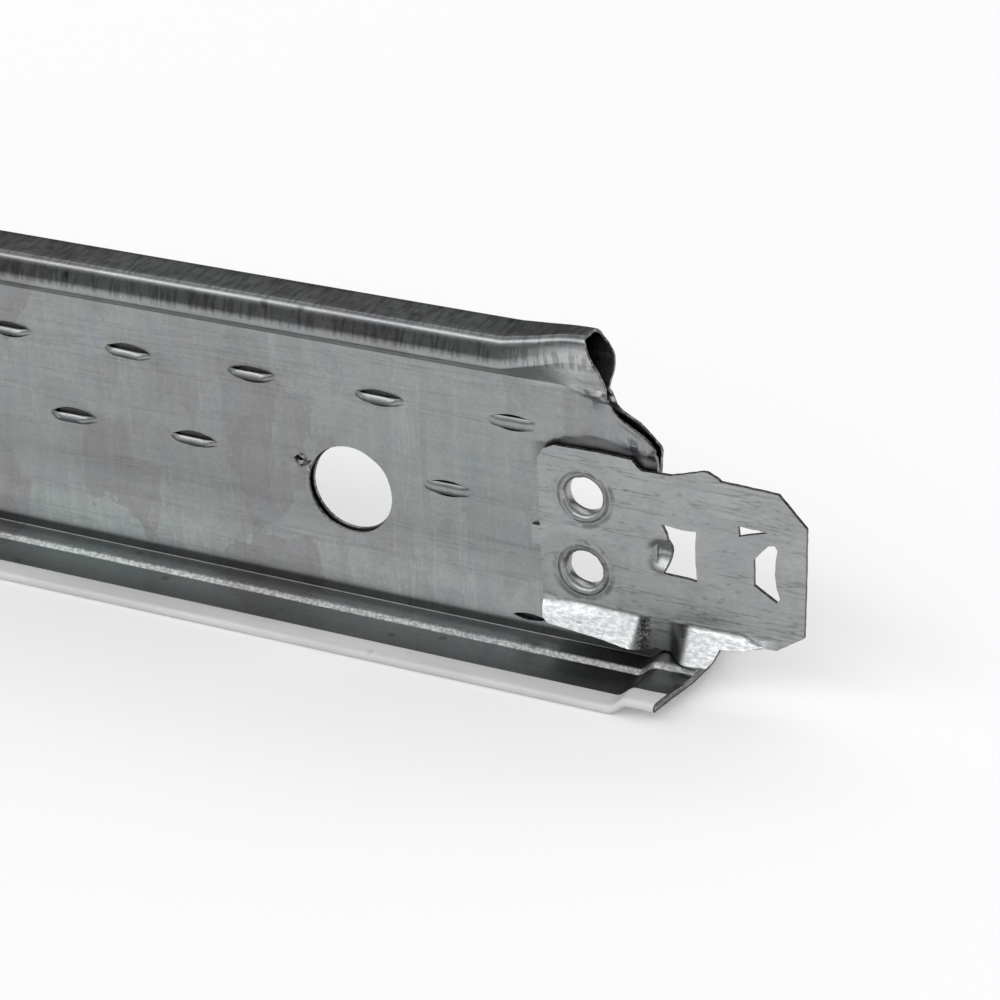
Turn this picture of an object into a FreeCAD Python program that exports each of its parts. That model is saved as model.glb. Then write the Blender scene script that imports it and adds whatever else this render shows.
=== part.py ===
"""Cross tee of a suspended-ceiling grid: one roll-formed galvanised strip with a hollow bulb and a
double web, a white cap strip hemmed round its flange, and a stamped stab-in clip clinched to each end.

Frame: +X along the tee, the photographed end at +X; +Y away from the clip of that end; +Z up.
The origin is on the floor, below the middle of the tee. Lengths are in millimetres.
"""
import FreeCAD
import Part
import Sketcher
import math
import os

V = FreeCAD.Vector

SIZES = (
    # The grid module, from flange tip to flange tip, and the rolled profile.
    ("length", 600.0),
    ("height", 38.0),
    ("face_width", 24.0),
    ("sheet", 0.4),
    ("web_gap", 0.3),
    ("bulb_width", 7.6),
    ("bulb_depth", 5.5),
    ("bulb_corner", 0.9),
    ("bulb_hip", 0.5),
    ("hip_drop", 2.6),
    ("crease_radius", 0.6),
    ("foot_radius", 0.55),
    ("ridge_reach", 3.1),
    ("ridge_rise", 0.6),
    ("ridge_angle", 30.0),
    ("ridge_crest", 0.4),
    ("ridge_foot", 0.6),
    # Cap strip.
    ("cap_sheet", 0.35),
    ("hem_width", 2.8),
    # Trimmed end: setbacks are measured from the flange tip, along the tee.
    ("bulb_top_setback", 14.4),
    ("bulb_low_setback", 12.4),
    ("squeeze_setback", 25.0),
    ("squeezed_width", 4.4),
    ("squeezed_rise", 1.2),
    ("neck_drop", 6.4),
    ("shoulder_setback", 7.3),
    ("shoulder_drop", 10.0),
    ("neck_radius", 6.0),
    ("web_setback", 6.3),
    ("web_corner", 1.0),
    ("foot_height", 6.0),
    ("wing_setback", 1.6),
    ("joggle_setback", 6.8),
    ("joggle_run", 1.6),
    ("joggle_rise", 1.4),
    # Hanger hole.
    ("hole_diameter", 10.4),
    ("hole_setback", 44.0),
    ("hole_height", 14.9),
    # Stitches that lock the two layers of the web.
    ("stitch_pitch", 16.35),
    ("stitch_setback", 23.5),
    ("stitch_drop", 11.0),
    ("stitch_low", 17.4),
    ("stitch_length", 6.2),
    ("stitch_mouth", 1.9),
    ("strap_width", 0.9),
    ("strap_rise", 0.7),
    ("strap_slope", 1.4),
    ("strap_root", 0.3),
    # End clip.
    ("clip_sheet", 0.5),
    ("clip_setback", 20.0),
    ("clip_reach", 11.3),
    ("clip_top", 25.5),
    ("clip_neck", 24.4),
    ("clip_fold", 7.2),
    ("clip_bottom", 5.8),
    ("clip_corner", 1.7),
    ("step_setback", 9.1),
    ("step_run", 1.2),
    ("tooth_reach", 0.5),
    ("tooth_foot", 4.4),
    ("tooth_back", 1.6),
    ("tooth_rise", 1.2),
    ("nose_cut", 3.3),
    ("chin_run", 3.4),
    ("chin_cut", 3.4),
    ("chin_rise", 2.55),
    ("strip_left", 7.2),
    ("strip_right", 2.6),
    ("strip_bottom", 3.4),
    ("ledge_angle", 35.0),
    ("ledge_depth", 3.3),
    ("ledge_left", 19.2),
    ("nose_ledge_reach", 1.4),
    # Clinched eyelets, drawn out of the clip.
    ("eyelet_bore", 4.5),
    ("eyelet_wall", 0.45),
    ("eyelet_setback", 14.9),
    ("eyelet_height", 15.3),
    ("eyelet_pitch", 9.0),
    ("eyelet_flare", 0.7),
    ("eyelet_clearance", 0.05),
    # Latch window, pip and crescent of the clip.
    ("window_width", 4.0),
    ("window_height", 6.1),
    ("window_setback", 3.4),
    ("window_middle", 15.4),
    ("window_bow", 0.7),
    ("pip_reach", 3.4),
    ("pip_length", 3.4),
    ("pip_height", 1.2),
    ("pip_middle", 19.4),
    ("crescent_reach", 5.2),
    ("crescent_width", 2.9),
    ("crescent_height", 6.7),
    ("crescent_middle", 15.1),
    ("crescent_flat", 3.2),
    ("crescent_bow", 0.5),
)

# A sketch's own x and y seen in the tee's frame.
ACROSS = FreeCAD.Rotation(V(1, 1, 1), 120)
ALONG = FreeCAD.Rotation(V(1, 0, 0), 90)
LEVEL = FreeCAD.Rotation()

TIP = "Sizes.length / 2"
BEYOND = "Sizes.length / 2 + Sizes.face_width"
OVER = "Sizes.height + Sizes.face_width"
WEB_FACE = "(Sizes.web_gap / 2 + Sizes.sheet)"
WING_EDGE = "Sizes.face_width / 2 - Sizes.cap_sheet - Sizes.sheet / 2"
FOOT_TOP = "Sizes.cap_sheet + Sizes.ridge_rise + Sizes.sheet + Sizes.foot_radius + Sizes.joggle_rise"

doc = FreeCAD.newDocument("CrossTee")
sheet = doc.addObject("Spreadsheet::Sheet", "Sizes")
for row, (alias, value) in enumerate(SIZES, 1):
    sheet.set("A%d" % row, alias)
    sheet.set("B%d" % row, str(value))
    sheet.setAlias("B%d" % row, alias)
doc.recompute()


def value_of(text):
    """The plain number that an expression over the sheet gives."""
    value = sheet.evalExpression(text)
    return float(getattr(value, "Value", value))


def fix(sketch, kind, refs, text):
    """Add one dimension to a sketch and bind it to an expression over the sheet."""
    index = sketch.addConstraint(Sketcher.Constraint(kind, *refs, value_of(text)))
    sketch.setExpression("Constraints[%d]" % index, text)


def place(sketch, geometry, end, across, up):
    """Hold a point of a sketch at a distance from the sketch's origin."""
    fix(sketch, "DistanceX", (-1, 1, geometry, end), across)
    fix(sketch, "DistanceY", (-1, 1, geometry, end), up)


def bow_radius(chord, bow):
    """The radius, as an expression, of an arc over a chord with a given bow."""
    return "(%s) ^ 2 / (8 * %s) + %s / 2" % (chord, bow, bow)


def outline(sketch, corners):
    """Draw a closed outline through corners: pairs of expressions, or four with an arc to the next.

    The third is the arc's radius and the fourth says whether it bulges to the left of the way it is
    drawn (1) or to the right (-1).
    """
    points = [V(value_of(corner[0]), value_of(corner[1]), 0) for corner in corners]
    edges = []
    for corner, start, stop in zip(corners, points, points[1:] + points[:1]):
        if len(corner) == 2:
            edges.append((sketch.addGeometry(Part.LineSegment(start, stop)), 1, 2))
            continue
        radius = value_of(corner[2])
        half = (stop - start) / 2
        bow = radius - math.sqrt(radius ** 2 - half.Length ** 2)
        aside = V(-half.y, half.x, 0).normalize() * bow * corner[3]
        arc = sketch.addGeometry(Part.Arc(start, start + half + aside, stop))
        first = 1 if sketch.getPoint(arc, 1).distanceToPoint(start) < bow else 2
        edges.append((arc, first, 3 - first))
    for before, after in zip(edges[-1:] + edges[:-1], edges):
        sketch.addConstraint(Sketcher.Constraint("Coincident", before[0], before[2], after[0], after[1]))
    for edge, corner in zip(edges, corners):
        place(sketch, edge[0], edge[1], corner[0], corner[1])
        if len(corner) > 2:
            fix(sketch, "Radius", (edge[0],), corner[2])


def circle(sketch, across, up, radius):
    """A circle whose centre and radius are bound to the sheet."""
    one = sketch.addGeometry(Part.Circle(V(value_of(across), value_of(up), 0), V(0, 0, 1), value_of(radius)))
    place(sketch, one, 3, across, up)
    fix(sketch, "Radius", (one,), radius)


def bent_strip(sketch, runs, bends):
    """Draw one face of a bent strip: straight runs, given by their ends, with tangent arcs between.

    Each bend is its centre, its radius, the angles it spans and whether it turns left (1) or right (-1).
    """
    lines = [sketch.addGeometry(Part.LineSegment(V(*a, 0), V(*b, 0))) for a, b in runs]
    arcs = []
    for before, after, (centre, radius, first, last, turn) in zip(lines, lines[1:], bends):
        rim = Part.Circle(V(*centre, 0), V(0, 0, 1), radius)
        arc = sketch.addGeometry(Part.ArcOfCircle(rim, first, last))
        ends = (1, 2) if turn > 0 else (2, 1)
        sketch.addConstraint(Sketcher.Constraint("Tangent", before, 2, arc, ends[0]))
        sketch.addConstraint(Sketcher.Constraint("Tangent", after, 1, arc, ends[1]))
        arcs.append(arc)
    return lines, arcs


def strip_section(name, path_of, station):
    """One section of half a strip, across the tee: its inner face thickened outwards.

    A station is the section's place along the tee, its lift, and the bulb's width and height there.
    """
    setback, lift, width, height = station
    path = doc.addObject("Sketcher::SketchObject", name + "_path")
    path.Placement = FreeCAD.Placement(V(0, 0, 0), ACROSS)
    path.setExpression("Placement.Base.x", setback)
    path.setExpression("Placement.Base.z", lift)
    thickness = path_of(path, width, height)
    section = doc.addObject("Part::Offset2D", name)
    section.Source = path
    section.setExpression("Value", thickness)
    section.Mode = "Skin"
    section.Fill = True
    return section


def rolled(name, path_of, stations):
    """Run half a section through its stations to one end, then mirror it across the web and end for end."""
    quarter = doc.addObject("Part::Loft", name + "_quarter")
    quarter.Sections = [
        strip_section("%s_section_%d" % (name, count), path_of, station)
        for count, station in enumerate(stations, 1)
    ]
    quarter.Solid = True
    quarter.Ruled = True
    whole = quarter
    for side, normal in (("web", V(0, 1, 0)), ("middle", V(1, 0, 0))):
        twin = doc.addObject("Part::Mirroring", "%s_beyond_%s" % (name, side))
        twin.Source = whole
        twin.Normal = normal
        joined = doc.addObject("Part::Fuse", "%s_across_%s" % (name, side))
        joined.Base = whole
        joined.Tool = twin
        joined.Refine = True
        whole = joined
    return whole


def tee_path(sketch, width, height):
    """Half of the rolled strip: the face that looks to the middle, from the wing's edge up to the crown."""
    middle = value_of("Sizes.web_gap / 2")
    foot = value_of("Sizes.foot_radius + Sizes.sheet")
    ridge_foot = value_of("Sizes.ridge_foot + Sizes.sheet")
    crest = value_of("Sizes.ridge_crest")
    reach = value_of("Sizes.ridge_reach")
    rake = math.radians(value_of("Sizes.ridge_angle"))
    crease = value_of("Sizes.crease_radius + Sizes.sheet")
    hip = value_of("Sizes.bulb_hip")
    corner = value_of("Sizes.bulb_corner")
    inside = value_of(width) / 2 - value_of("Sizes.sheet")
    edge = value_of(WING_EDGE)
    low = value_of("Sizes.cap_sheet")
    ridge = low + value_of("Sizes.ridge_rise")
    crease_z = value_of("Sizes.height - Sizes.bulb_depth")
    hip_z = value_of("Sizes.height - Sizes.hip_drop")
    top = value_of(height) - value_of("Sizes.sheet")
    crest_start = (reach + crest * math.sin(rake), ridge - crest * (1 - math.cos(rake)))
    rake_start_z = low + ridge_foot * (1 - math.cos(rake))
    rake_start = (crest_start[0] + (crest_start[1] - rake_start_z) / math.tan(rake), rake_start_z)
    wing_end = rake_start[0] + ridge_foot * math.sin(rake)
    span = V(inside - hip - middle - crease, hip_z - crease_z, 0)
    slope = math.atan2(span.y, span.x) - math.asin((crease + hip) / span.Length)
    slope_start = (middle + crease * (1 - math.sin(slope)), crease_z + crease * math.cos(slope))
    slope_end = (inside - hip * (1 - math.sin(slope)), hip_z - hip * math.cos(slope))
    lines, arcs = bent_strip(
        sketch,
        (
            ((edge, low), (wing_end, low)),
            (rake_start, crest_start),
            ((reach, ridge), (middle + foot, ridge)),
            ((middle, ridge + foot), (middle, crease_z)),
            (slope_start, slope_end),
            ((inside, hip_z), (inside, top - corner)),
            ((inside - corner, top), (0, top)),
        ),
        (
            ((wing_end, low + ridge_foot), ridge_foot, -math.pi / 2 - rake, -math.pi / 2, -1),
            ((reach, ridge - crest), crest, math.pi / 2 - rake, math.pi / 2, 1),
            ((middle + foot, ridge + foot), foot, math.pi, 1.5 * math.pi, -1),
            ((middle + crease, crease_z), crease, math.pi / 2 + slope, math.pi, -1),
            ((inside - hip, hip_z), hip, slope - math.pi / 2, 0, 1),
            ((inside - corner, top - corner), corner, 0, math.pi / 2, 1),
        ),
    )
    wing, rise, ledge_top, web, underside, side, crown = lines
    for one in (wing, ledge_top, crown):
        sketch.addConstraint(Sketcher.Constraint("Horizontal", one))
    for one in (web, side):
        sketch.addConstraint(Sketcher.Constraint("Vertical", one))
    place(sketch, wing, 1, WING_EDGE, "Sizes.cap_sheet")
    place(sketch, ledge_top, 1, "Sizes.ridge_reach", "Sizes.cap_sheet + Sizes.ridge_rise")
    angle = sketch.addConstraint(Sketcher.Constraint("Angle", rise, math.pi - rake))
    sketch.setExpression("Constraints[%d]" % angle, "180 deg - Sizes.ridge_angle * 1 deg")
    place(sketch, web, 2, "Sizes.web_gap / 2", "Sizes.height - Sizes.bulb_depth")
    place(sketch, side, 1, "%s / 2 - Sizes.sheet" % width, "Sizes.height - Sizes.hip_drop")
    place(sketch, crown, 2, "0", "%s - Sizes.sheet" % height)
    for arc, radius in zip(arcs, (
        "Sizes.ridge_foot + Sizes.sheet", "Sizes.ridge_crest", "Sizes.foot_radius + Sizes.sheet",
        "Sizes.crease_radius + Sizes.sheet", "Sizes.bulb_hip", "Sizes.bulb_corner",
    )):
        fix(sketch, "Radius", (arc,), radius)
    return "Sizes.sheet"


def cap_path(sketch, width, height):
    """Half of the cap strip: the face that hugs the wing, from the middle out, round the edge and back."""
    fold = value_of("Sizes.sheet") / 2
    out = value_of(WING_EDGE)
    low = value_of("Sizes.cap_sheet")
    hem_end = value_of("Sizes.face_width / 2 - Sizes.hem_width")
    lines, arcs = bent_strip(
        sketch,
        (((0, low), (out, low)), ((out, low + 2 * fold), (hem_end, low + 2 * fold))),
        (((out, low + fold), fold, -math.pi / 2, math.pi / 2, 1),),
    )
    floor, hem = lines
    for one in lines:
        sketch.addConstraint(Sketcher.Constraint("Horizontal", one))
    place(sketch, floor, 1, "0", "Sizes.cap_sheet")
    fix(sketch, "DistanceX", (-1, 1, floor, 2), WING_EDGE)
    place(sketch, hem, 2, "Sizes.face_width / 2 - Sizes.hem_width", "Sizes.cap_sheet + Sizes.sheet")
    return "Sizes.cap_sheet"


def prism(name, turn, corners, base, direction, depth):
    """A prism over an outline. Base is the axis that the sketch is moved along, and how far."""
    sketch = doc.addObject("Sketcher::SketchObject", name + "_outline")
    sketch.Placement = FreeCAD.Placement(V(0, 0, 0), turn)
    sketch.setExpression("Placement.Base." + base[0], base[1])
    outline(sketch, corners)
    solid = doc.addObject("Part::Extrusion", name)
    solid.Base = sketch
    solid.DirMode = "Custom"
    solid.Dir = direction
    solid.setExpression("LengthFwd", depth)
    solid.Solid = True
    return solid


def both_ends(solid):
    """The solid and its mirror image at the tee's other end."""
    twin = doc.addObject("Part::Mirroring", solid.Name + "_twin")
    twin.Source = solid
    twin.Normal = V(1, 0, 0)
    return [solid, twin]


def drilled(name, diameter, setback, up):
    """A round hole through the web near each end."""
    hole = doc.addObject("Part::Cylinder", name)
    hole.Placement = FreeCAD.Placement(V(0, 0, 0), ALONG)
    hole.setExpression("Radius", diameter + " / 2")
    hole.setExpression("Height", "Sizes.bulb_width")
    hole.setExpression("Placement.Base.x", "%s - %s" % (TIP, setback))
    hole.setExpression("Placement.Base.y", "Sizes.bulb_width / 2")
    hole.setExpression("Placement.Base.z", up)
    return both_ends(hole)


def body_sketch(body, name, role, level):
    """A sketch on one of the body's own planes, moved along the plane's normal."""
    plane = [one for one in body.Origin.OriginFeatures if one.Role == role][0]
    sketch = body.newObject("Sketcher::SketchObject", name)
    sketch.AttachmentSupport = [(plane, "")]
    sketch.MapMode = "FlatFace"
    sketch.setExpression("AttachmentOffset.Base.z", level)
    return sketch


def pad(body, sketch, length, name):
    """Thicken a sketch along its plane's normal."""
    feature = body.newObject("PartDesign::Pad", name)
    feature.Profile = sketch
    feature.setExpression("Length", length)
    doc.recompute()
    return feature


def stitch_row(name, first, up):
    """One row of stitches: the slots that are cut, and the straps that stay as bridges over them."""
    steps = "floor((Sizes.length - 2 * (%s)) / Sizes.stitch_pitch)" % first
    middle = "%s - (%s)" % (TIP, first)
    half = "Sizes.stitch_length / 2"
    mouth = "Sizes.stitch_mouth / 2"
    crest = half + " + Sizes.strap_root - Sizes.strap_slope"
    root = half + " + Sizes.strap_root"
    face = "-" + WEB_FACE
    back = "-Sizes.web_gap / 2"
    shapes = (
        ("slots", "XZ_Plane", "-Sizes.bulb_width / 2", "Sizes.bulb_width", (
            ("%s - (%s)" % (middle, half), up),
            (middle, "%s - %s" % (up, mouth)),
            ("%s + %s" % (middle, half), up),
            (middle, "%s + %s" % (up, mouth)),
        )),
        ("straps", "XY_Plane", "%s - Sizes.strap_width / 2" % up, "Sizes.strap_width", (
            ("%s - (%s)" % (middle, root), back),
            ("%s - (%s)" % (middle, root), face),
            ("%s - (%s)" % (middle, crest), face + " - Sizes.strap_rise"),
            ("%s + %s" % (middle, crest), face + " - Sizes.strap_rise"),
            ("%s + %s" % (middle, root), face),
            ("%s + %s" % (middle, root), back),
            ("%s + %s - Sizes.sheet" % (middle, crest), back + " - Sizes.strap_rise"),
            ("%s - (%s - Sizes.sheet)" % (middle, crest), back + " - Sizes.strap_rise"),
        )),
    )
    made = []
    for kind, role, level, depth, corners in shapes:
        body = doc.addObject("PartDesign::Body", "%s_%s" % (name, kind))
        sketch = body_sketch(body, "%s_%s_outline" % (name, kind), role, level)
        outline(sketch, corners)
        first_one = pad(body, sketch, depth, "%s_%s_first" % (name, kind))
        row = body.newObject("PartDesign::LinearPattern", "%s_%s_row" % (name, kind))
        row.Originals = [first_one]
        row.Direction = ([one for one in body.Origin.OriginFeatures if one.Role == "X_Axis"][0], [""])
        row.Reversed = True
        row.setExpression("Length", "%s * Sizes.stitch_pitch" % steps)
        row.setExpression("Occurrences", "%s + 1" % steps)
        body.Tip = row
        doc.recompute()
        made.append(body)
    return made


def cut(label, stock, tools):
    """Take tools away from a piece of stock; the result is a sub-part."""
    gathered = doc.addObject("Part::MultiFuse", label + "_cuts")
    gathered.Shapes = tools
    piece = doc.addObject("Part::Cut", label)
    piece.Base = stock
    piece.Tool = gathered
    piece.Label = label
    return piece


# Trims of the ends: the bulb and web are cropped in side view, the flange in plan.
web_trim = both_ends(prism(
    "Web_trim", ALONG,
    (
        (TIP + " - Sizes.bulb_top_setback", OVER),
        (TIP + " - Sizes.bulb_top_setback", "Sizes.height + Sizes.squeezed_rise"),
        (TIP + " - Sizes.bulb_low_setback", "Sizes.height - Sizes.bulb_depth"),
        (TIP + " - Sizes.bulb_low_setback", "Sizes.height - Sizes.neck_drop", "Sizes.neck_radius", -1),
        (TIP + " - Sizes.shoulder_setback", "Sizes.height - Sizes.shoulder_drop"),
        (TIP + " - Sizes.web_setback", "Sizes.height - Sizes.shoulder_drop - Sizes.web_corner"),
        (TIP + " - Sizes.web_setback", "Sizes.foot_height"),
        (TIP, FOOT_TOP),
        (BEYOND, FOOT_TOP),
        (BEYOND, OVER),
    ),
    ("y", "-Sizes.face_width"), V(0, 1, 0), "2 * Sizes.face_width",
))
wing_trim = both_ends(prism(
    "Wing_trim", LEVEL,
    (
        (TIP, "0"),
        (TIP + " - Sizes.wing_setback", "Sizes.face_width / 2"),
        (TIP + " - Sizes.wing_setback", "Sizes.face_width"),
        (BEYOND, "Sizes.face_width"),
        (BEYOND, "-Sizes.face_width"),
        (TIP + " - Sizes.wing_setback", "-Sizes.face_width"),
        (TIP + " - Sizes.wing_setback", "-Sizes.face_width / 2"),
    ),
    ("z", "-Sizes.cap_sheet"), V(0, 0, 1), "Sizes.foot_height + Sizes.joggle_rise",
))
hanger_holes = drilled("Hanger_hole", "Sizes.hole_diameter", "Sizes.hole_setback", "Sizes.hole_height")
RIVET = "(Sizes.eyelet_bore + 2 * Sizes.eyelet_wall + 2 * Sizes.eyelet_clearance)"
EYELET_LEVELS = ["Sizes.eyelet_height %s Sizes.eyelet_pitch / 2" % sign for sign in ("+", "-")]
rivet_holes = []
for count, level in enumerate(EYELET_LEVELS, 1):
    rivet_holes += drilled("Rivet_hole_%d" % count, RIVET, "Sizes.eyelet_setback", level)

# The rolled strip, with its bulb squeezed and its flange joggled up near the end.
full_bulb = ("Sizes.bulb_width", "Sizes.height")
squeezed_bulb = ("Sizes.squeezed_width", "(Sizes.height + Sizes.squeezed_rise)")
JOGGLE_TOP = TIP + " - Sizes.joggle_setback + Sizes.joggle_run"
tee_stock = rolled("Tee", tee_path, (
    ("0", "0", *full_bulb),
    (TIP + " - Sizes.squeeze_setback", "0", *full_bulb),
    (TIP + " - Sizes.bulb_top_setback", "0", *squeezed_bulb),
    (TIP + " - Sizes.joggle_setback", "0", *squeezed_bulb),
    (JOGGLE_TOP, "Sizes.joggle_rise", *squeezed_bulb),
    (TIP, "Sizes.joggle_rise", *squeezed_bulb),
))
cap_stock = rolled("Cap", cap_path, (
    ("0", "0", *full_bulb),
    (TIP + " - Sizes.joggle_setback", "0", *full_bulb),
    (JOGGLE_TOP, "Sizes.joggle_rise", *full_bulb),
    (TIP, "Sizes.joggle_rise", *full_bulb),
))
high_row = stitch_row("High_stitches", "Sizes.stitch_setback", "(Sizes.height - Sizes.stitch_drop)")
low_row = stitch_row("Low_stitches", "Sizes.stitch_setback + Sizes.stitch_pitch / 2", "Sizes.stitch_low")
slotted = doc.addObject("Part::Cut", "Slotted_strip")
slotted.Base = tee_stock
slots = doc.addObject("Part::Fuse", "Stitch_slots")
slots.Base, slots.Tool = high_row[0], low_row[0]
slotted.Tool = slots
stitched = doc.addObject("Part::MultiFuse", "Stitched_strip")
stitched.Shapes = [slotted, high_row[1], low_row[1]]
doc.recompute()
tee_body = cut("tee_body", stitched, web_trim + wing_trim + hanger_holes + rivet_holes)
flange_cap = cut("flange_cap", cap_stock, wing_trim)


def clip_outline(sketch):
    """The flat plate of the clip in side view, from its lower left corner along its lower edge."""
    left = TIP + " - Sizes.clip_setback"
    nose = TIP + " + Sizes.clip_reach"
    strip = "Sizes.strip_left", "Sizes.strip_right"
    tooth = TIP + " + Sizes.tooth_reach"
    outline(sketch, (
        (left, "Sizes.clip_fold"),
        ("%s - %s" % (TIP, strip[0]), "Sizes.clip_fold"),
        ("%s - %s" % (TIP, strip[0]), "Sizes.strip_bottom"),
        ("%s - %s" % (TIP, strip[1]), "Sizes.strip_bottom"),
        ("%s - %s" % (TIP, strip[1]), "Sizes.clip_fold"),
        (nose + " - Sizes.chin_cut - Sizes.chin_run", "Sizes.clip_fold"),
        (nose + " - Sizes.chin_cut", "Sizes.clip_bottom"),
        (nose, "Sizes.clip_bottom + Sizes.chin_rise"),
        (nose, "Sizes.clip_neck - Sizes.nose_cut"),
        (nose + " - Sizes.nose_cut", "Sizes.clip_neck"),
        (tooth + " + Sizes.tooth_back", "Sizes.clip_neck"),
        (tooth, "Sizes.clip_neck + Sizes.tooth_rise"),
        (tooth + " - Sizes.tooth_foot", "Sizes.clip_neck"),
        (TIP + " - Sizes.step_setback + Sizes.step_run", "Sizes.clip_neck"),
        (TIP + " - Sizes.step_setback", "Sizes.clip_top"),
        (left + " + Sizes.clip_corner", "Sizes.clip_top", "Sizes.clip_corner", -1),
        (left, "Sizes.clip_top - Sizes.clip_corner"),
    ))


def ledge(body, name, start, length):
    """A strip of the plate's lower edge, bent outwards, away from the web, below the fold."""
    across = body_sketch(body, name + "_section", "YZ_Plane", start)
    fold = "-" + WEB_FACE
    front = fold + " - Sizes.clip_sheet"
    lean = "Sizes.ledge_depth * sin(Sizes.ledge_angle * 1 deg)"
    drop = "Sizes.ledge_depth * cos(Sizes.ledge_angle * 1 deg)"
    outline(across, (
        (fold, "Sizes.clip_fold"),
        (front, "Sizes.clip_fold"),
        ("%s - %s" % (front, lean), "Sizes.clip_fold - %s" % drop),
        ("%s - %s" % (fold, lean), "Sizes.clip_fold - %s" % drop),
    ))
    pad(body, across, length, name)


def end_clip(label, turn):
    """The stamped clip: a plate on the web's face with two collars that pass the web and flare behind it."""
    body = doc.addObject("PartDesign::Body", label)
    body.Label = label
    plate = body_sketch(body, label + "_plate_outline", "XZ_Plane", WEB_FACE)
    clip_outline(plate)
    pad(body, plate, "Sizes.clip_sheet", label + "_plate")
    ledge(body, label + "_ledge", TIP + " - Sizes.ledge_left", "Sizes.ledge_left - Sizes.strip_left")
    nose_ledge_length = "Sizes.strip_right + Sizes.nose_ledge_reach"
    ledge(body, label + "_nose_ledge", TIP + " - Sizes.strip_right", nose_ledge_length)
    collar = "Sizes.eyelet_bore / 2 + Sizes.eyelet_wall"
    flare = collar + " + Sizes.eyelet_flare"
    rings = (
        ("collars", "-" + WEB_FACE, collar, "2 * " + WEB_FACE),
        ("flares", "-%s - Sizes.eyelet_wall" % WEB_FACE, flare, "Sizes.eyelet_wall"),
    )
    across = TIP + " - Sizes.eyelet_setback"
    for kind, level, radius, depth in rings:
        sketch = body_sketch(body, "%s_%s_outline" % (label, kind), "XZ_Plane", level)
        for up in EYELET_LEVELS:
            circle(sketch, across, up, radius)
        pad(body, sketch, depth, "%s_%s" % (label, kind))
    holes = body_sketch(body, label + "_openings", "XZ_Plane", WEB_FACE + " + 2 * Sizes.clip_sheet")
    for up in EYELET_LEVELS:
        circle(holes, across, up, "Sizes.eyelet_bore / 2")
    window = TIP + " - Sizes.window_setback"
    sill = "Sizes.window_middle - Sizes.window_height / 2"
    lintel = "Sizes.window_middle + Sizes.window_height / 2"
    outline(holes, (
        (window + " - Sizes.window_width / 2", sill),
        (window + " + Sizes.window_width / 2", sill),
        (window + " + Sizes.window_width / 2", lintel),
        (window + " - Sizes.window_width / 2", lintel,
         bow_radius("Sizes.window_height", "Sizes.window_bow"), 1),
    ))
    pip = TIP + " + Sizes.pip_reach"
    outline(holes, (
        (pip, "Sizes.pip_middle - Sizes.pip_height / 2"),
        (pip + " + Sizes.pip_length", "Sizes.pip_middle + Sizes.pip_height / 2"),
        (pip, "Sizes.pip_middle + Sizes.pip_height / 2"),
    ))
    moon = TIP + " + Sizes.crescent_reach"
    horn = moon + " + Sizes.crescent_width"
    outline(holes, (
        (moon, "Sizes.crescent_middle - Sizes.crescent_flat / 2"),
        (horn, "Sizes.crescent_middle - Sizes.crescent_height / 2",
         bow_radius("Sizes.crescent_height", "Sizes.crescent_bow"), 1),
        (horn, "Sizes.crescent_middle + Sizes.crescent_height / 2"),
        (moon + " + Sizes.crescent_width / 2", "Sizes.crescent_middle + Sizes.crescent_height / 2"),
        (moon, "Sizes.crescent_middle + Sizes.crescent_flat / 2"),
    ))
    solid = body.Shape.Volume
    pocket = body.newObject("PartDesign::Pocket", label + "_cut_outs")
    pocket.Profile = holes
    pocket.Type = "ThroughAll"
    pocket.Reversed = False
    doc.recompute()
    if body.Shape.Volume >= solid:
        raise RuntimeError("the cut-outs of %s took nothing away" % label)
    body.Placement = FreeCAD.Placement(V(0, 0, 0), FreeCAD.Rotation(V(0, 0, 1), turn))
    return body


pieces = [
    tee_body,
    flange_cap,
    end_clip("end_clip_right", 0),
    end_clip("end_clip_left", 180),
]
doc.recompute()

for one in doc.Objects:
    if "Invalid" in one.State or "Error" in one.State:
        raise RuntimeError("%s did not build" % one.Name)
for piece in pieces:
    if piece.Shape.isNull() or not piece.Shape.isValid():
        raise RuntimeError("%s has no sound solid" % piece.Label)
os.makedirs("parts", exist_ok=True)
for piece in pieces:
    piece.Shape.exportStep("parts/%s.step" % piece.Label)
    box = piece.Shape.BoundBox
    print("%-16s %d solid(s) %9.1f mm3  x %.2f..%.2f  y %.2f..%.2f  z %.2f..%.2f" % (
        piece.Label, len(piece.Shape.Solids), piece.Shape.Volume,
        box.XMin, box.XMax, box.YMin, box.YMax, box.ZMin, box.ZMax))
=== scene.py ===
"""A cross tee of a suspended ceiling, finished for its portrait: galvanised strip, white cap, end clips.

The tee's sizes are in millimetres and go through MM into the frame's metres. The sizes of the studio
and the places in the masks of the materials are in metres. A place near an end is given by its setback,
from the flange tip inwards, and its height above the floor.
"""
import bpy
import bmesh
import math
import random
from mathutils import Matrix, Vector, noise
from mathutils.geometry import delaunay_2d_cdt


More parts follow.
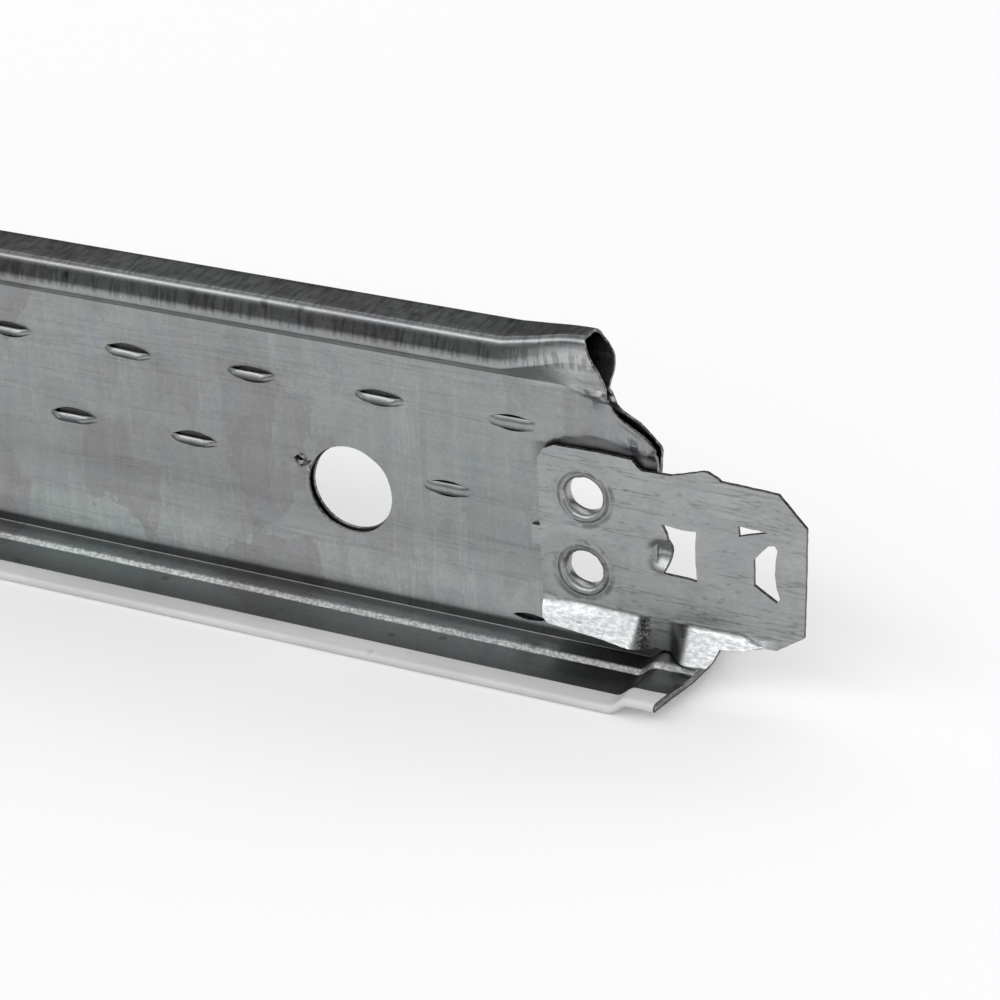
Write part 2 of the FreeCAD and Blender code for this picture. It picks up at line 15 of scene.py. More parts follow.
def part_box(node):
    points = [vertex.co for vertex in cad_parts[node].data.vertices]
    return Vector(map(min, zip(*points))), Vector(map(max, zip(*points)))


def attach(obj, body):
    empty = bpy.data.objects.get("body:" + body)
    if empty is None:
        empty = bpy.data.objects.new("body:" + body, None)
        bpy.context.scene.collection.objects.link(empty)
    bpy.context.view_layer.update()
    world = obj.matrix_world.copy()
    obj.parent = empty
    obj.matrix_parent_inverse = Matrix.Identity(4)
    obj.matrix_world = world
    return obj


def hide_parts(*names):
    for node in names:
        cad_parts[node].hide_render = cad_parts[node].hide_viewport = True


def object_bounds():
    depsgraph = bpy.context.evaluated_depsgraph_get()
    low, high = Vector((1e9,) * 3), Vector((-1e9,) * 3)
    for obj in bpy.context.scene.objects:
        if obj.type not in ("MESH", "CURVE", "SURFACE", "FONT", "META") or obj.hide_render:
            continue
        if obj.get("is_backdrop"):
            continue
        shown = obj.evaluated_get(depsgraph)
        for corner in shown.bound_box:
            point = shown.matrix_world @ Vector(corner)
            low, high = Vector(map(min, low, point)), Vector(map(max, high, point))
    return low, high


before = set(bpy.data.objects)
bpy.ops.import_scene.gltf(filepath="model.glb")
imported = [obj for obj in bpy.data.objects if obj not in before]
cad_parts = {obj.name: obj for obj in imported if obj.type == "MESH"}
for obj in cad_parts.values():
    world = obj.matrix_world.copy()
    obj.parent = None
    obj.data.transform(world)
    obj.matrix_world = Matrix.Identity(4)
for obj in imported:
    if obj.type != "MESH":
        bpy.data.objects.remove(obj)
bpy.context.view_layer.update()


# The camera looks at the right-hand end of the tee from the front right and from above, through a
# long lens. Its distance is taken from the flange's tip.
MM = 0.001
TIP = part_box("flange_cap")[1].x / MM
camera_azimuth = math.radians(26.26)
camera_elevation = math.radians(26.29)
camera_roll = math.radians(-1.19)
camera_offset = Vector((119.95, -294.7, 179.3))
camera_data = bpy.data.cameras.new("Portrait_camera")
camera_data.lens = 118.8
camera_data.sensor_width = 36.0
camera_data.clip_start = 0.01
camera_data.clip_end = 50.0
camera = bpy.data.objects.new("Portrait_camera", camera_data)
bpy.context.scene.collection.objects.link(camera)
turn = Matrix.Rotation(camera_azimuth, 4, "Z") @ Matrix.Rotation(math.pi / 2 - camera_elevation, 4, "X")
camera.matrix_world = (
    Matrix.Translation((Vector((TIP, 0.0, 0.0)) + camera_offset) * MM)
    @ turn
    @ Matrix.Rotation(camera_roll, 4, "Z")
)
bpy.context.scene.camera = camera


# The studio: a plain pale floor, two long soft boxes high at the front and back, and low dark cards
# beside them that the camera doesn't see. Steel takes some of its bright lines and dark bands from these;
# the rest are painted highlights and painted shade in its materials.
def new_material(name):
    """An empty node material: the material, its node tree and its Principled shader."""
    made = bpy.data.materials.new(name)
    made.use_nodes = True
    tree = made.node_tree
    tree.nodes.clear()
    shader = tree.nodes.new("ShaderNodeBsdfPrincipled")
    output = tree.nodes.new("ShaderNodeOutputMaterial")
    tree.links.new(shader.outputs["BSDF"], output.inputs["Surface"])
    return made, tree, shader


def add(tree, kind, inputs, **settings):
    """A shader node with its settings, and its inputs set to values or linked to other nodes' outputs."""
    made = tree.nodes.new("ShaderNode" + kind)
    for key, value in settings.items():
        setattr(made, key, value)
    for key, value in inputs.items():
        if isinstance(value, bpy.types.NodeSocket):
            tree.links.new(value, made.inputs[key])
        else:
            made.inputs[key].default_value = value
    return made


def sums(tree, kind, first, second=0.5, third=0.5, clamp=False):
    """One sum of up to three values, or of sockets."""
    return add(tree, "Math", {0: first, 1: second, 2: third}, operation=kind, use_clamp=clamp).outputs[0]


def link_mesh(name, mesh_data):
    """Put a mesh in the scene as an object of the same name."""
    made = bpy.data.objects.new(name, mesh_data)
    bpy.context.scene.collection.objects.link(made)
    return made


def plane(name, middle, across, along):
    """A flat rectangle from its middle and its two half sides."""
    corners = [middle + across * a + along * b for a, b in ((-1, -1), (1, -1), (1, 1), (-1, 1))]
    data = bpy.data.meshes.new(name)
    data.from_pydata(corners, [], [(0, 1, 2, 3)])
    return link_mesh(name, data)


def area_light(name, place, target, size, power):
    """A rectangular soft box that faces a target."""
    data = bpy.data.lights.new(name, "AREA")
    data.shape = "RECTANGLE"
    data.size, data.size_y = size
    data.energy = power
    lamp = bpy.data.objects.new(name, data)
    bpy.context.scene.collection.objects.link(lamp)
    place, target = Vector(place), Vector(target)
    facing = (place - target).to_track_quat("Z", "Y").to_matrix().to_4x4()
    lamp.matrix_world = Matrix.Translation(place) @ facing


floor = plane("Floor", Vector((0, 0, 0)), Vector((6, 0, 0)), Vector((0, 6, 0)))
floor_paint, tree, shader = new_material("Floor_paper")
shader.inputs["Base Color"].default_value = (0.80, 0.80, 0.80, 1.0)
shader.inputs["Roughness"].default_value = 0.9
rays = add(tree, "LightPath", {}).outputs
seen = sums(tree, "MAXIMUM", rays["Is Camera Ray"], rays["Is Glossy Ray"])
seen = sums(tree, "MAXIMUM", seen, rays["Is Transmission Ray"])
glow = add(tree, "Emission", {"Strength": sums(tree, "MULTIPLY", seen, 0.18)})
both = add(tree, "AddShader", {0: shader.outputs["BSDF"], 1: glow.outputs["Emission"]})
tree.links.new(both.outputs["Shader"], tree.nodes["Material Output"].inputs["Surface"])
floor.data.materials.append(floor_paint)
floor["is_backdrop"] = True

card_black, tree, shader = new_material("Card_black")
shader.inputs["Base Color"].default_value = (0.02, 0.02, 0.02, 1.0)
shader.inputs["Roughness"].default_value = 1.0
CARD_FOOT = 0.04
for name, place, top in (("front", -2.2, 0.85), ("back", 2.2, 1.55)):
    card = plane(
        "Card_" + name, Vector((0.0, place, (top + CARD_FOOT) / 2)), Vector((4.0, 0.0, 0.0)),
        Vector((0.0, 0.0, (top - CARD_FOOT) / 2)))
    card.data.materials.append(card_black)
    card.visible_camera = False
    card.visible_diffuse = False
    card.visible_shadow = False
    card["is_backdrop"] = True
SOFTBOX_UP = 1.72
for name, place, power in (("front", -1.5, 15.0), ("back", 1.5, 6.0)):
    area_light("Softbox_" + name, (-0.4, place, SOFTBOX_UP), (0.2, 0.0, 0.0), (3.2, 0.5), power)

world = bpy.data.worlds.new("Studio_air")
world.use_nodes = True
world.node_tree.nodes["Background"].inputs["Color"].default_value = (1.0, 1.0, 1.0, 1.0)
world.node_tree.nodes["Background"].inputs["Strength"].default_value = 0.8
bpy.context.scene.world = world
bpy.context.scene.view_settings.view_transform = "Standard"


# The rolled strip: galvanised steel 0.4 mm thick, folded over a hollow bulb into a double web and out
# into two wings. Two rows of stitches lock its layers, and its ends are squeezed, holed and cropped.
SHEET = 0.4
WEB_MIDDLE = 0.35
WING_EDGE = 11.45
WING_UP = 0.55
JOGGLE_LIFT = 1.4
PITCH = 16.35
STATION = PITCH / 4
FIRST_STITCH = 23.5
HIGH_STITCH = 27.0
LOW_STITCH = 17.4
END_ZONE = FIRST_STITCH - STATION
STILL_ZONE = 10.4
END_RELIEF = 30.0
WEB_ROWS = (
    2.2, 2.9, 3.6, 4.4, 5.3, 6.2, 7.2, 8.4, 9.6, 10.8, 12.0, 13.2, 14.4, 15.6, 16.5, 17.4, 18.3, 19.2,
    20.4, 21.6, 22.8, 24.0, 24.6, 25.2, 25.8, 26.4, 27.0, 27.6, 28.2, 28.8, 29.4, 30.0, 30.6, 31.2,
    31.8, 32.2)


def eased(value, start, stop):
    """0 at start and 1 at stop, with a smooth step between them."""
    part = min(1.0, max(0.0, (value - start) / (stop - start)))
    return part * part * (3 - 2 * part)


def along(table, value):
    """Read a value off a short table of (place, value) pairs, straight between them."""
    for (start, first), (stop, last) in zip(table, table[1:]):
        if value <= stop:
            return first + (last - first) * max(0.0, value - start) / (stop - start)
    return table[-1][1]


def ripple(x, y, z, seed):
    """Smooth noise between -1 and 1."""
    return noise.noise(Vector((x + 17.3 * seed, y - 9.1 * seed, z + 5.7 * seed)))


def bent(corners):
    """Points along a bent path: corners are (out, up, bend radius, steps round the bend)."""
    points = [Vector(corners[0][:2])]
    for before, (out, up, radius, steps), after in zip(corners, corners[1:], corners[2:]):
        corner = Vector((out, up))
        back = (Vector(before[:2]) - corner).normalized()
        ahead = (Vector(after[:2]) - corner).normalized()
        half = back.angle(ahead) / 2
        centre = corner + (back + ahead).normalized() * radius / math.sin(half)
        first = corner + back * radius / math.tan(half) - centre
        last = corner + ahead * radius / math.tan(half) - centre
        sweep = first.angle_signed(last)
        for step in range(steps + 1):
            points.append(centre + Matrix.Rotation(-sweep * step / steps, 2) @ first)
    points.append(Vector(corners[-1][:2]))
    return points


def half_section(hip, waist, shoulder):
    """The middle of the sheet from the wing's edge up to the crown, as (out, up) points.

    The hip, the waist and the shoulder are the corners of the bulb, each with a bend radius.
    """
    foot = bent((
        (WING_EDGE, WING_UP, 0, 0), (3.7, WING_UP, 0.4, 4), (3.1, 1.15, 0.45, 4),
        (WEB_MIDDLE, 1.2, 0.4, 6), (WEB_MIDDLE, WEB_ROWS[0], 0, 0)))
    web = [Vector((WEB_MIDDLE, up)) for up in WEB_ROWS[1:-1]]
    bulb = bent((
        (WEB_MIDDLE, WEB_ROWS[-1], 0, 0), (WEB_MIDDLE, 32.75, 0.4, 4), (*hip, 5), (*waist, 3),
        (*shoulder, 8), (0.0, shoulder[1], 0, 0)))
    return foot, web, bulb


def split(points, counts):
    """Cut each step of a path into a given number of equal parts."""
    full = [points[0]]
    for a, b, parts in zip(points, points[1:], counts):
        full += [a.lerp(b, part / parts) for part in range(1, parts + 1)]
    return full


def part_counts(points, longest):
    """How many parts each step of a path needs for none to be longer than a limit."""
    return [max(1, math.ceil((b - a).length / longest)) for a, b in zip(points, points[1:])]


full_size = half_section((3.60, 34.75, 0.5), (3.55, 35.7, 1.6), (2.90, 37.8, 0.75))
squeezed = half_section((1.85, 36.3, 1.2), (1.97, 37.3, 1.6), (1.70, 38.95, 0.75))
foot_counts = part_counts(full_size[0], 1.2)
bulb_counts = part_counts(full_size[2], 0.9)
full_rows, squeezed_rows = (
    split(foot, foot_counts) + web + split(bulb, bulb_counts) for foot, web, bulb in (full_size, squeezed))
FOOT_TOP = sum(foot_counts)
ROWS = len(full_rows)
CROWN = ROWS - 1

# Where the strip ends: pairs of a height, or of a distance from the middle, and a setback.
WEB_END = (
    (1.2, 0.3), (2.0, 1.3), (3.0, 3.4), (4.0, 4.9), (6.0, 6.2), (24.0, 6.2), (26.9, 6.4), (28.0, 7.5),
    (29.2, 9.6), (30.3, 11.3), (31.7, 12.1), (32.8, 12.3), (34.4, 12.5), (39.2, 14.4))
WING_END = ((0.0, 0.15), (4.0, 0.5), (8.0, 1.2), (12.0, 1.9))

# How much further the far layer reaches than the near one, by height.
FAR_END = (
    (24.0, 0.0), (28.0, 0.5), (29.5, 1.3), (31.0, 0.6), (32.5, 0.0), (34.0, 0.3), (36.0, 1.0),
    (37.5, 0.6), (39.0, 0.0))


def end_setback(row, near, seed):
    """How far from the tip the cropped strip ends in one of its rows."""
    out, up = squeezed_rows[row]
    if row < FOOT_TOP - 6:
        setback = along(WING_END, out)
    else:
        setback = along(WEB_END, up)
        if not near:
            setback -= along(FAR_END, up)
    return setback + 0.10 * ripple(out * 1.3, up * 1.3, 0.0, seed)


# Of the cropped ends: where the web is crumpled beside the hanger hole, and the arched roof of the
# pocket that the clip lies in, as pairs of a setback and a height.
CRUMPLE = (49.8, 17.2)
POCKET_ROOF = ((6.0, 25.9), (8.5, 26.5), (11.0, 27.1), (14.0, 27.35), (17.0, 26.9), (20.0, 25.4))


def bump(distance, width):
    """A rounded bump across a line: 1 on the line and nearly 0 at twice its width."""
    return math.exp(-(distance / width) ** 2)


def strip_relief(setback, up, near, x, side):
    """How far the web stands proud of its flat.

    It waves everywhere and is crumpled beside the hanger hole. Near its end come the pocket of the clip,
    two folds and a crease under the bulb, the curl and the burr of the crop, and the crumpled toe.
    """
    wave = 0.05 * ripple(x / 17, up / 13, side, 3) + 0.018 * ripple(x / 4, up / 5, side, 5)
    wave *= eased(up, 2.0, 5.0)
    if setback > END_RELIEF:
        reach = ((setback - CRUMPLE[0]) / 1.3) ** 2 + (up - CRUMPLE[1]) ** 2
        if reach < 6.0:
            crumple = 0.18 + 0.95 * ripple(x * 1.8, up * 1.8, side, 7)
            wave += math.exp(-reach) * crumple * (1.0 if near else 0.3)
        return wave
    roof = along(POCKET_ROOF, setback)
    pocket = eased(up, roof + 0.15, roof - 0.45) * eased(up, 20.0, 23.5)
    pocket *= eased(setback, 21.2, 18.8) * eased(setback, 5.2, 7.2)
    pocket *= -0.26 if near else 0.42
    fold_up = 33.1 - (19.0 - setback) * 0.17
    fold = 0.42 * bump(up - fold_up, 0.42) * eased(setback, 18.5, 13.5)
    second = -0.24 * bump(up - fold_up + 1.0, 0.6) * eased(setback, 18.0, 13.5)
    under = 0.22 * bump(up - 34.5 + (17 - setback) * 0.05, 0.30) * eased(setback, 19.0, 14.0)
    curl = 0.20 if near else -0.04
    edge = along(WEB_END, up)
    curled = curl * eased(setback - edge, 1.5, 0.0) * eased(up, 25.3, 26.6) * eased(up, 31.5, 29.5)
    burr_up = 26.35 + 0.28 * (setback - 6.5) + 0.12 * ripple(setback * 1.4, 0.0, side, 8)
    burr = 0.34 * bump(up - burr_up, 0.28) * eased(setback, 11.2, 9.6)
    toe = 0.45 * ripple(setback * 1.7, up * 1.5, side, 9) * eased(setback, 8.0, 5.5) * eased(up, 5.0, 3.2)
    return wave + pocket + fold + second + under + curled + burr + toe


def strip_point(x, row, side):
    """A point of the sheet's middle in a row of the section, on one side of the tee."""
    setback = TIP - abs(x)
    near = side * x < 0
    out, up = full_rows[row].lerp(squeezed_rows[row], eased(setback, 24.5, 14.8))
    if row == CROWN:
        return Vector((x, 0.0, up))
    return strip_shift(x, out, up, side, near, setback, row)


def strip_shift(x, out, up, side, near, setback, row=None):
    """A place of the section moved by the joggle and by its relief. A place in a stitch has no row."""
    lift = JOGGLE_LIFT * eased(setback, 7.1, 4.9) * eased(up, 8.0, 2.5)
    proud = 0.0
    if row is None or FOOT_TOP <= row < CROWN - 6:
        proud = strip_relief(setback, up, near, x, side)
    if row is not None and row < FOOT_TOP:
        lift += 0.16 * ripple(x / 2.2, out / 1.5, side, 11) * eased(setback, 9.0, 4.0) * eased(out, 9.4, 7.5)
        lift += 0.03 * ripple(x / 9, out / 2.5, side, 12) * eased(out, 11.0, 9.0)
    return Vector((x, side * (out + proud), up + lift))


# Stations along the tee: fine in the cropped ends, and in step with the stitches between them.
def zone_stations():
    """The setbacks of the stations of one end, from its zone's start to the tip."""
    steps = [END_ZONE - (END_ZONE - STILL_ZONE) * k / 14 for k in range(14)]
    return steps + [STILL_ZONE * (1 - k / 20) for k in range(21)]


right_zone = [TIP - s for s in zone_stations()]
middle_stations = []
x = TIP - END_ZONE - STATION
while x > -(TIP - END_ZONE) + 3:
    middle_stations.append(x)
    x -= STATION
stations = [-x for x in reversed(right_zone)] + list(reversed(middle_stations)) + right_zone


def sheared(x, row, side):
    """Move a station of the cropped end so that the last one lies on the crop."""
    setback = TIP - abs(x)
    if setback >= END_ZONE:
        return x
    near = side * x < 0
    up = full_rows[row].y
    still = 6.3 < up < 24.5 and row >= FOOT_TOP
    zone = STILL_ZONE if still else END_ZONE
    end = end_setback(row, near, 1 if x > 0 else 2)
    if setback < zone:
        setback = end + setback * (zone - end) / zone
    return math.copysign(TIP - setback, x)


strip_mesh = bmesh.new()
grid = {}
for i, x in enumerate(stations):
    for j in range(2 * ROWS - 1):
        side = -1 if j <= CROWN else 1
        row = j if j <= CROWN else 2 * CROWN - j
        grid[i, j] = strip_mesh.verts.new(strip_point(sheared(x, row, side), row, side))

random.seed(41)
taken = set()
windows = []


def station_at(x):
    """The station that lies nearest to a place along the tee."""
    return min(range(len(stations)), key=lambda i: abs(stations[i] - x))


def row_at(up):
    """The row of the web that lies nearest to a height."""
    return FOOT_TOP + min(range(len(WEB_ROWS)), key=lambda k: abs(WEB_ROWS[k] - up))


def open_window(side, x_low, x_high, up_low, up_high, loops, rings=(0.25, 0.6)):
    """Leave cells of the web out of the grid, to fill them round the outlines of openings.

    The rings are how far from each outline the extra points lie.
    """
    i_low, i_high = station_at(x_low), station_at(x_high)
    rows = [row_at(up_low), row_at(up_high)]
    if side > 0:
        rows = [2 * CROWN - rows[1], 2 * CROWN - rows[0]]
    for i in range(i_low, i_high):
        for j in range(rows[0], rows[1]):
            taken.add((i, j))
    windows.append((side, i_low, i_high, rows, loops, rings))


def almond(x, up, half_length, half_height, steps=8):
    """A pointed opening, as a loop of (x, up) points."""
    points = []
    for turn in (1, -1):
        for step in range(steps):
            part = -turn * (1 - 2 * step / steps)
            points.append((x + part * half_length, up + turn * half_height * (1 - abs(part) ** 2.2)))
    return points


def ring(x, up, radius, steps, wobble=0.0):
    """A round opening, more or less true, as a loop of (x, up) points."""
    points = []
    for step in range(steps):
        angle = 2 * math.pi * step / steps
        reach = radius + wobble * ripple(math.cos(angle) * 2, math.sin(angle) * 2, x / 7, 21)
        points.append((x + reach * math.cos(angle), up - reach * math.sin(angle)))
    return points


# Stitches: a short strap between two slits, pushed out to the front through both layers.
SLIT_HALF_LENGTH = 3.1
SLIT_HALF_HEIGHT = 0.98
STRAP_HALF_LENGTH = 3.2
FAR_STRAP_HALF_HEIGHT = 0.84


def strap(x, up, side, half_height, proud, tilt):
    """The band of a stitch: it leaves the sheet at both ends and arches out to the front."""
    columns = []
    for step in range(13):
        part = -1 + 2 * step / 12
        arch = proud * eased(abs(part), 1.04, 0.45) - 0.07
        narrow = half_height * (1.0 - 0.35 * abs(part) ** 3)
        column = []
        for level in (-1, -0.6, 0.0, 0.6, 1):
            bow = 0.26 * (1 - level * level) * eased(abs(part), 1.0, 0.6)
            place = strip_shift(
                x + part * STRAP_HALF_LENGTH, WEB_MIDDLE, up + level * narrow + tilt * part, side,
                side * x < 0, TIP - abs(x))
            place.y -= arch + bow
            column.append(strip_mesh.verts.new(place))
        columns.append(column)
    for one, two in zip(columns, columns[1:]):
        for k in range(4):
            corners = (one[k], two[k], two[k + 1], one[k + 1])
            strip_mesh.faces.new(corners if side < 0 else corners[::-1])


HOLE_SETBACK = 44.0
HOLE_UP = 14.9
for first, up, count in ((FIRST_STITCH, HIGH_STITCH, 34), (FIRST_STITCH + PITCH / 2, LOW_STITCH, 33)):
    for k in range(count):
        x = TIP - first - PITCH * k
        proud = random.uniform(0.62, 0.85)
        half_height = random.uniform(0.30, 0.42)
        drop = random.uniform(-0.12, 0.18)
        tilt = random.uniform(-0.12, 0.05)
        if up == LOW_STITCH and abs(abs(x) - TIP + HOLE_SETBACK) < 7:
            continue
        if k == 0 or k == count - 1:
            proud, half_height, drop = 0.20, 0.60, 0.0
        for side in (-1, 1):
            slit = almond(x, up, SLIT_HALF_LENGTH, SLIT_HALF_HEIGHT)
            open_window(side, x - STATION, x + STATION, up - 1.8, up + 1.8, [slit])
        strap(x, up + drop, -1, half_height, proud, tilt)
        strap(x, up, 1, FAR_STRAP_HALF_HEIGHT, 0.5 * proud, 0.0)

# Hanger holes: punched through both layers after the stitches, so one stitch at the right is cut in
# two, and a stub of its slit is left beside the hole.
STUB_SETBACK = 50.35
STUB_UP = 17.65
for end in (1, -1):
    x = end * (TIP - HOLE_SETBACK)
    for side in (-1, 1):
        near = side * x < 0
        if near:
            loops = [ring(x - 0.10 * end, HOLE_UP - 0.08, 5.34, 44, 0.12)]
        else:
            loops = [ring(x, HOLE_UP, 5.16, 44, 0.06)]
        if end > 0:
            loops.append(almond(TIP - STUB_SETBACK, STUB_UP, 0.85, 0.42, 5))
        x_low, x_high = (x - 8.2, x + 8.2) if end > 0 else (x - 11.2, x + 9.3)
        rings = (0.25, 0.6, 1.0, 1.45, 1.9) if near and end > 0 else (0.25, 0.6)
        open_window(side, x_low, x_high, 8.4, 21.6, loops, rings)

# A slit at the foot of the near layer, beside each clip.
for end in (1, -1):
    x_pair = sorted((end * (TIP - END_ZONE - 2 * STATION), end * (TIP - END_ZONE)))
    slit = almond(end * (TIP - 21.75), 3.3, 2.1, 0.42, 10)
    open_window(-end, *x_pair, 2.2, 4.4, [slit], (0.2,))

# Holes for the collars of the end clips.
EYELET_SETBACK = 14.9
EYELET_HEIGHTS = (19.8, 10.8)
COLLAR_HOLE = 2.75
for end in (1, -1):
    x = end * (TIP - EYELET_SETBACK)
    x_pair = sorted((end * (TIP - END_ZONE), end * (TIP - STILL_ZONE)))
    for side in (-1, 1):
        for up, up_low, up_high in ((EYELET_HEIGHTS[1], 7.2, 14.4), (EYELET_HEIGHTS[0], 15.6, 24.0)):
            open_window(side, *x_pair, up_low, up_high, [ring(x, up, COLLAR_HOLE, 24)])

for (i, j) in grid:
    if i + 1 < len(stations) and j + 1 < 2 * ROWS - 1 and (i, j) not in taken:
        strip_mesh.faces.new((grid[i, j], grid[i + 1, j], grid[i + 1, j + 1], grid[i, j + 1]))


def inside(point, loop):
    """Whether a point lies within a closed loop."""
    hit = False
    for (ax, ay), (bx, by) in zip(loop, loop[1:] + loop[:1]):
        if (ay > point[1]) != (by > point[1]):
            if point[0] < ax + (bx - ax) * (point[1] - ay) / (by - ay):
                hit = not hit
    return hit


def grown(loop, reach):
    """A loop pushed outwards by a reach."""
    wide = []
    for before, here, after in zip(loop[-1:] + loop[:-1], loop, loop[1:] + loop[:1]):
        run = Vector((after[0] - before[0], after[1] - before[1])).normalized()
        wide.append((here[0] - run.y * reach, here[1] + run.x * reach))
    return wide


def meshed(outline, loops, points):
    """Triangles between an outline and the loops that stay open: corners, triangles and corners' sources."""
    places = []
    edges = []
    for loop in [outline] + loops:
        start = len(places)
        places += loop
        edges += [(start + k, start + (k + 1) % len(loop)) for k in range(len(loop))]
    places += points
    found, _, triangles, sources, _, _ = delaunay_2d_cdt([Vector(p) for p in places], edges, [], 1, 1e-5)
    kept = []
    for triangle in triangles:
        middle = sum((found[k] for k in triangle), Vector((0, 0))) / 3
        if not any(inside(middle, loop) for loop in loops):
            kept.append(triangle)
    return found, kept, sources


def clear_of(point, places, reach):
    """Whether a point lies further than a reach from each of some places."""
    return min((Vector(point) - Vector(one)).length for one in places) > reach


def fill(mesh, border, border_places, loops, rings, locate, flipped):
    """Fill a bordered window of a sheet with triangles round the loops that stay open."""
    points = []
    for loop in loops:
        for reach in rings:
            for point in grown(loop, reach):
                if not any(inside(point, one) for one in loops) and inside(point, border_places):
                    if clear_of(point, border_places, 0.12):
                        points.append(point)
    found, triangles, origins = meshed(border_places, loops, points)
    verts = {}
    for index, sources in enumerate(origins):
        if sources and min(sources) < len(border):
            verts[index] = border[min(sources)]
    for triangle in triangles:
        for k in triangle:
            if k not in verts:
                verts[k] = mesh.verts.new(locate(*found[k]))
        corners = [verts[k] for k in triangle]
        mesh.faces.new(corners[::-1] if flipped else corners)


for side, i_low, i_high, (j_low, j_high), loops, rings in windows:
    walk = [(i, j_low) for i in range(i_low, i_high)] + [(i_high, j) for j in range(j_low, j_high)]
    walk += [(i, j_high) for i in range(i_high, i_low, -1)] + [(i_low, j) for j in range(j_high, j_low, -1)]
    places = []
    for i, j in walk:
        row = j if j <= CROWN else 2 * CROWN - j
        places.append((stations[i], full_rows[row].y))
    border = [grid[key] for key in walk]

    def locate(x, up, side=side):
        """The place on one layer of the web."""
        return strip_shift(x, WEB_MIDDLE, up, side, side * x < 0, TIP - abs(x))

    fill(strip_mesh, border, places, loops, rings, locate, side > 0)

strip_mesh.verts.ensure_lookup_table()
for loose in [v for v in strip_mesh.verts if not v.link_faces]:
    strip_mesh.verts.remove(loose)


def sheet_piece(name, mesh, thickness, finishes, sharp=38.0):
    """Give a mesh of a sheet's middle its thickness, and make it an object in metres.

    The finishes are the material of its faces and that of its cut edges.
    """
    bmesh.ops.scale(mesh, vec=(MM, MM, MM), verts=mesh.verts)
    data = bpy.data.meshes.new(name)
    mesh.to_mesh(data)
    mesh.free()
    made = link_mesh(name, data)
    skin = made.modifiers.new("Sheet", "SOLIDIFY")
    skin.thickness = thickness * MM
    skin.offset = 0.0
    skin.material_offset_rim = 1
    for finish in finishes:
        data.materials.append(finish)
    depsgraph = bpy.context.evaluated_depsgraph_get()
    solid = bpy.data.meshes.new_from_object(made.evaluated_get(depsgraph))
    made.modifiers.clear()
    made.data = solid
    bpy.data.meshes.remove(data)
    solid.name = name
    solid.shade_smooth()
    solid.set_sharp_from_angle(angle=math.radians(sharp))
    return made


# Finishes of bare zinc: a mottled skin with drawn lines, scratches and pits, and the steel of cut edges.
def effect(name, inputs, outputs):
    """A shader node group with its sockets: its tree, its inputs and a function that links an output."""
    tree = bpy.data.node_groups.new(name, "ShaderNodeTree")
    for socket, kind, value in inputs:
        made = tree.interface.new_socket(socket, in_out="INPUT", socket_type="NodeSocket" + kind)
        if value is not None:
            made.default_value = value
    for socket in outputs:
        tree.interface.new_socket(socket, in_out="OUTPUT", socket_type="NodeSocketFloat")
    start = tree.nodes.new("NodeGroupInput")
    stop = tree.nodes.new("NodeGroupOutput")
    return tree, start.outputs, lambda socket, source: tree.links.new(source, stop.inputs[socket])


def placed(tree, group, inputs):
    """The outputs of a node group placed in a material."""
    return add(tree, "Group", inputs, node_tree=group).outputs


def ramp(tree, value, low, high, first=0.0, last=1.0, kind="SMOOTHSTEP"):
    """A value spread from one range to another and kept within its ends."""
    return add(tree, "MapRange", {
        "Value": value, "From Min": low, "From Max": high, "To Min": first, "To Max": last
    }, interpolation_type=kind).outputs[0]


def scaled(tree, value, share):
    """A value or a mask times another."""
    return sums(tree, "MULTIPLY", value, share)


def band(tree, value, rise, fall):
    """A mask that is 1 between two places: each is a pair, from where the mask is 0 to where it is 1."""
    return scaled(tree, ramp(tree, value, *rise), ramp(tree, value, *fall))


def stretched(tree, vector, scale, angle=(0.0, 0.0, 0.0)):
    """Places for a texture, scaled and turned."""
    return add(tree, "Mapping", {"Vector": vector, "Scale": scale, "Rotation": angle}).outputs[0]


# Mottle: cells of zinc with wandering borders, each of its own tone.
mottle, given, give = effect("Zinc_mottle", (
    ("Vector", "Vector", None), ("Scale", "Float", 90.0), ("Wander", "Float", 0.006)), ("Tone", "Cloud"))
bend = add(mottle, "TexNoise", {"Vector": given["Vector"], "Scale": 120.0, "Detail": 5.0, "Roughness": 0.62})
shift = add(mottle, "VectorMath", {0: bend.outputs["Color"], 1: (0.5, 0.5, 0.5)}, operation="SUBTRACT")
shift = add(mottle, "VectorMath", {0: shift.outputs[0], "Scale": given["Wander"]}, operation="SCALE")
moved = add(mottle, "VectorMath", {0: given["Vector"], 1: shift.outputs[0]}, operation="ADD")
cells = add(mottle, "TexVoronoi", {"Vector": moved.outputs[0], "Scale": given["Scale"]}, feature="F1")
split_cells = add(mottle, "SeparateColor", {"Color": cells.outputs["Color"]})
clouds = add(mottle, "TexNoise", {
    "Vector": moved.outputs[0], "Scale": 210.0, "Detail": 3.0, "Roughness": 0.6})
give("Tone", split_cells.outputs[0])
give("Cloud", clouds.outputs["Fac"])

# Lines: long fine marks that the rolls and the die leave, denser or sparser by the stretch.
lines_group, given, give = effect("Drawn_lines", (
    ("Vector", "Vector", None), ("Threshold", "Float", 0.6), ("Width", "Float", 0.03)), ("Lines", "Streaks"))
fine = add(lines_group, "TexNoise", {
    "Vector": given["Vector"], "Scale": 1.0, "Detail": 2.0, "Roughness": 0.5})
level = sums(lines_group, "SUBTRACT", fine.outputs["Fac"], 0.5)
level = sums(lines_group, "ABSOLUTE", level)
thin = ramp(lines_group, level, 0.0, given["Width"], 1.0, 0.0, "LINEAR")
where = add(lines_group, "TexNoise", {"Vector": given["Vector"], "Scale": 0.31, "Detail": 1.0})
some = sums(lines_group, "SUBTRACT", where.outputs["Fac"], given["Threshold"])
some = sums(lines_group, "MULTIPLY", some, 12.0, clamp=True)
give("Lines", scaled(lines_group, thin, some))
give("Streaks", fine.outputs["Fac"])

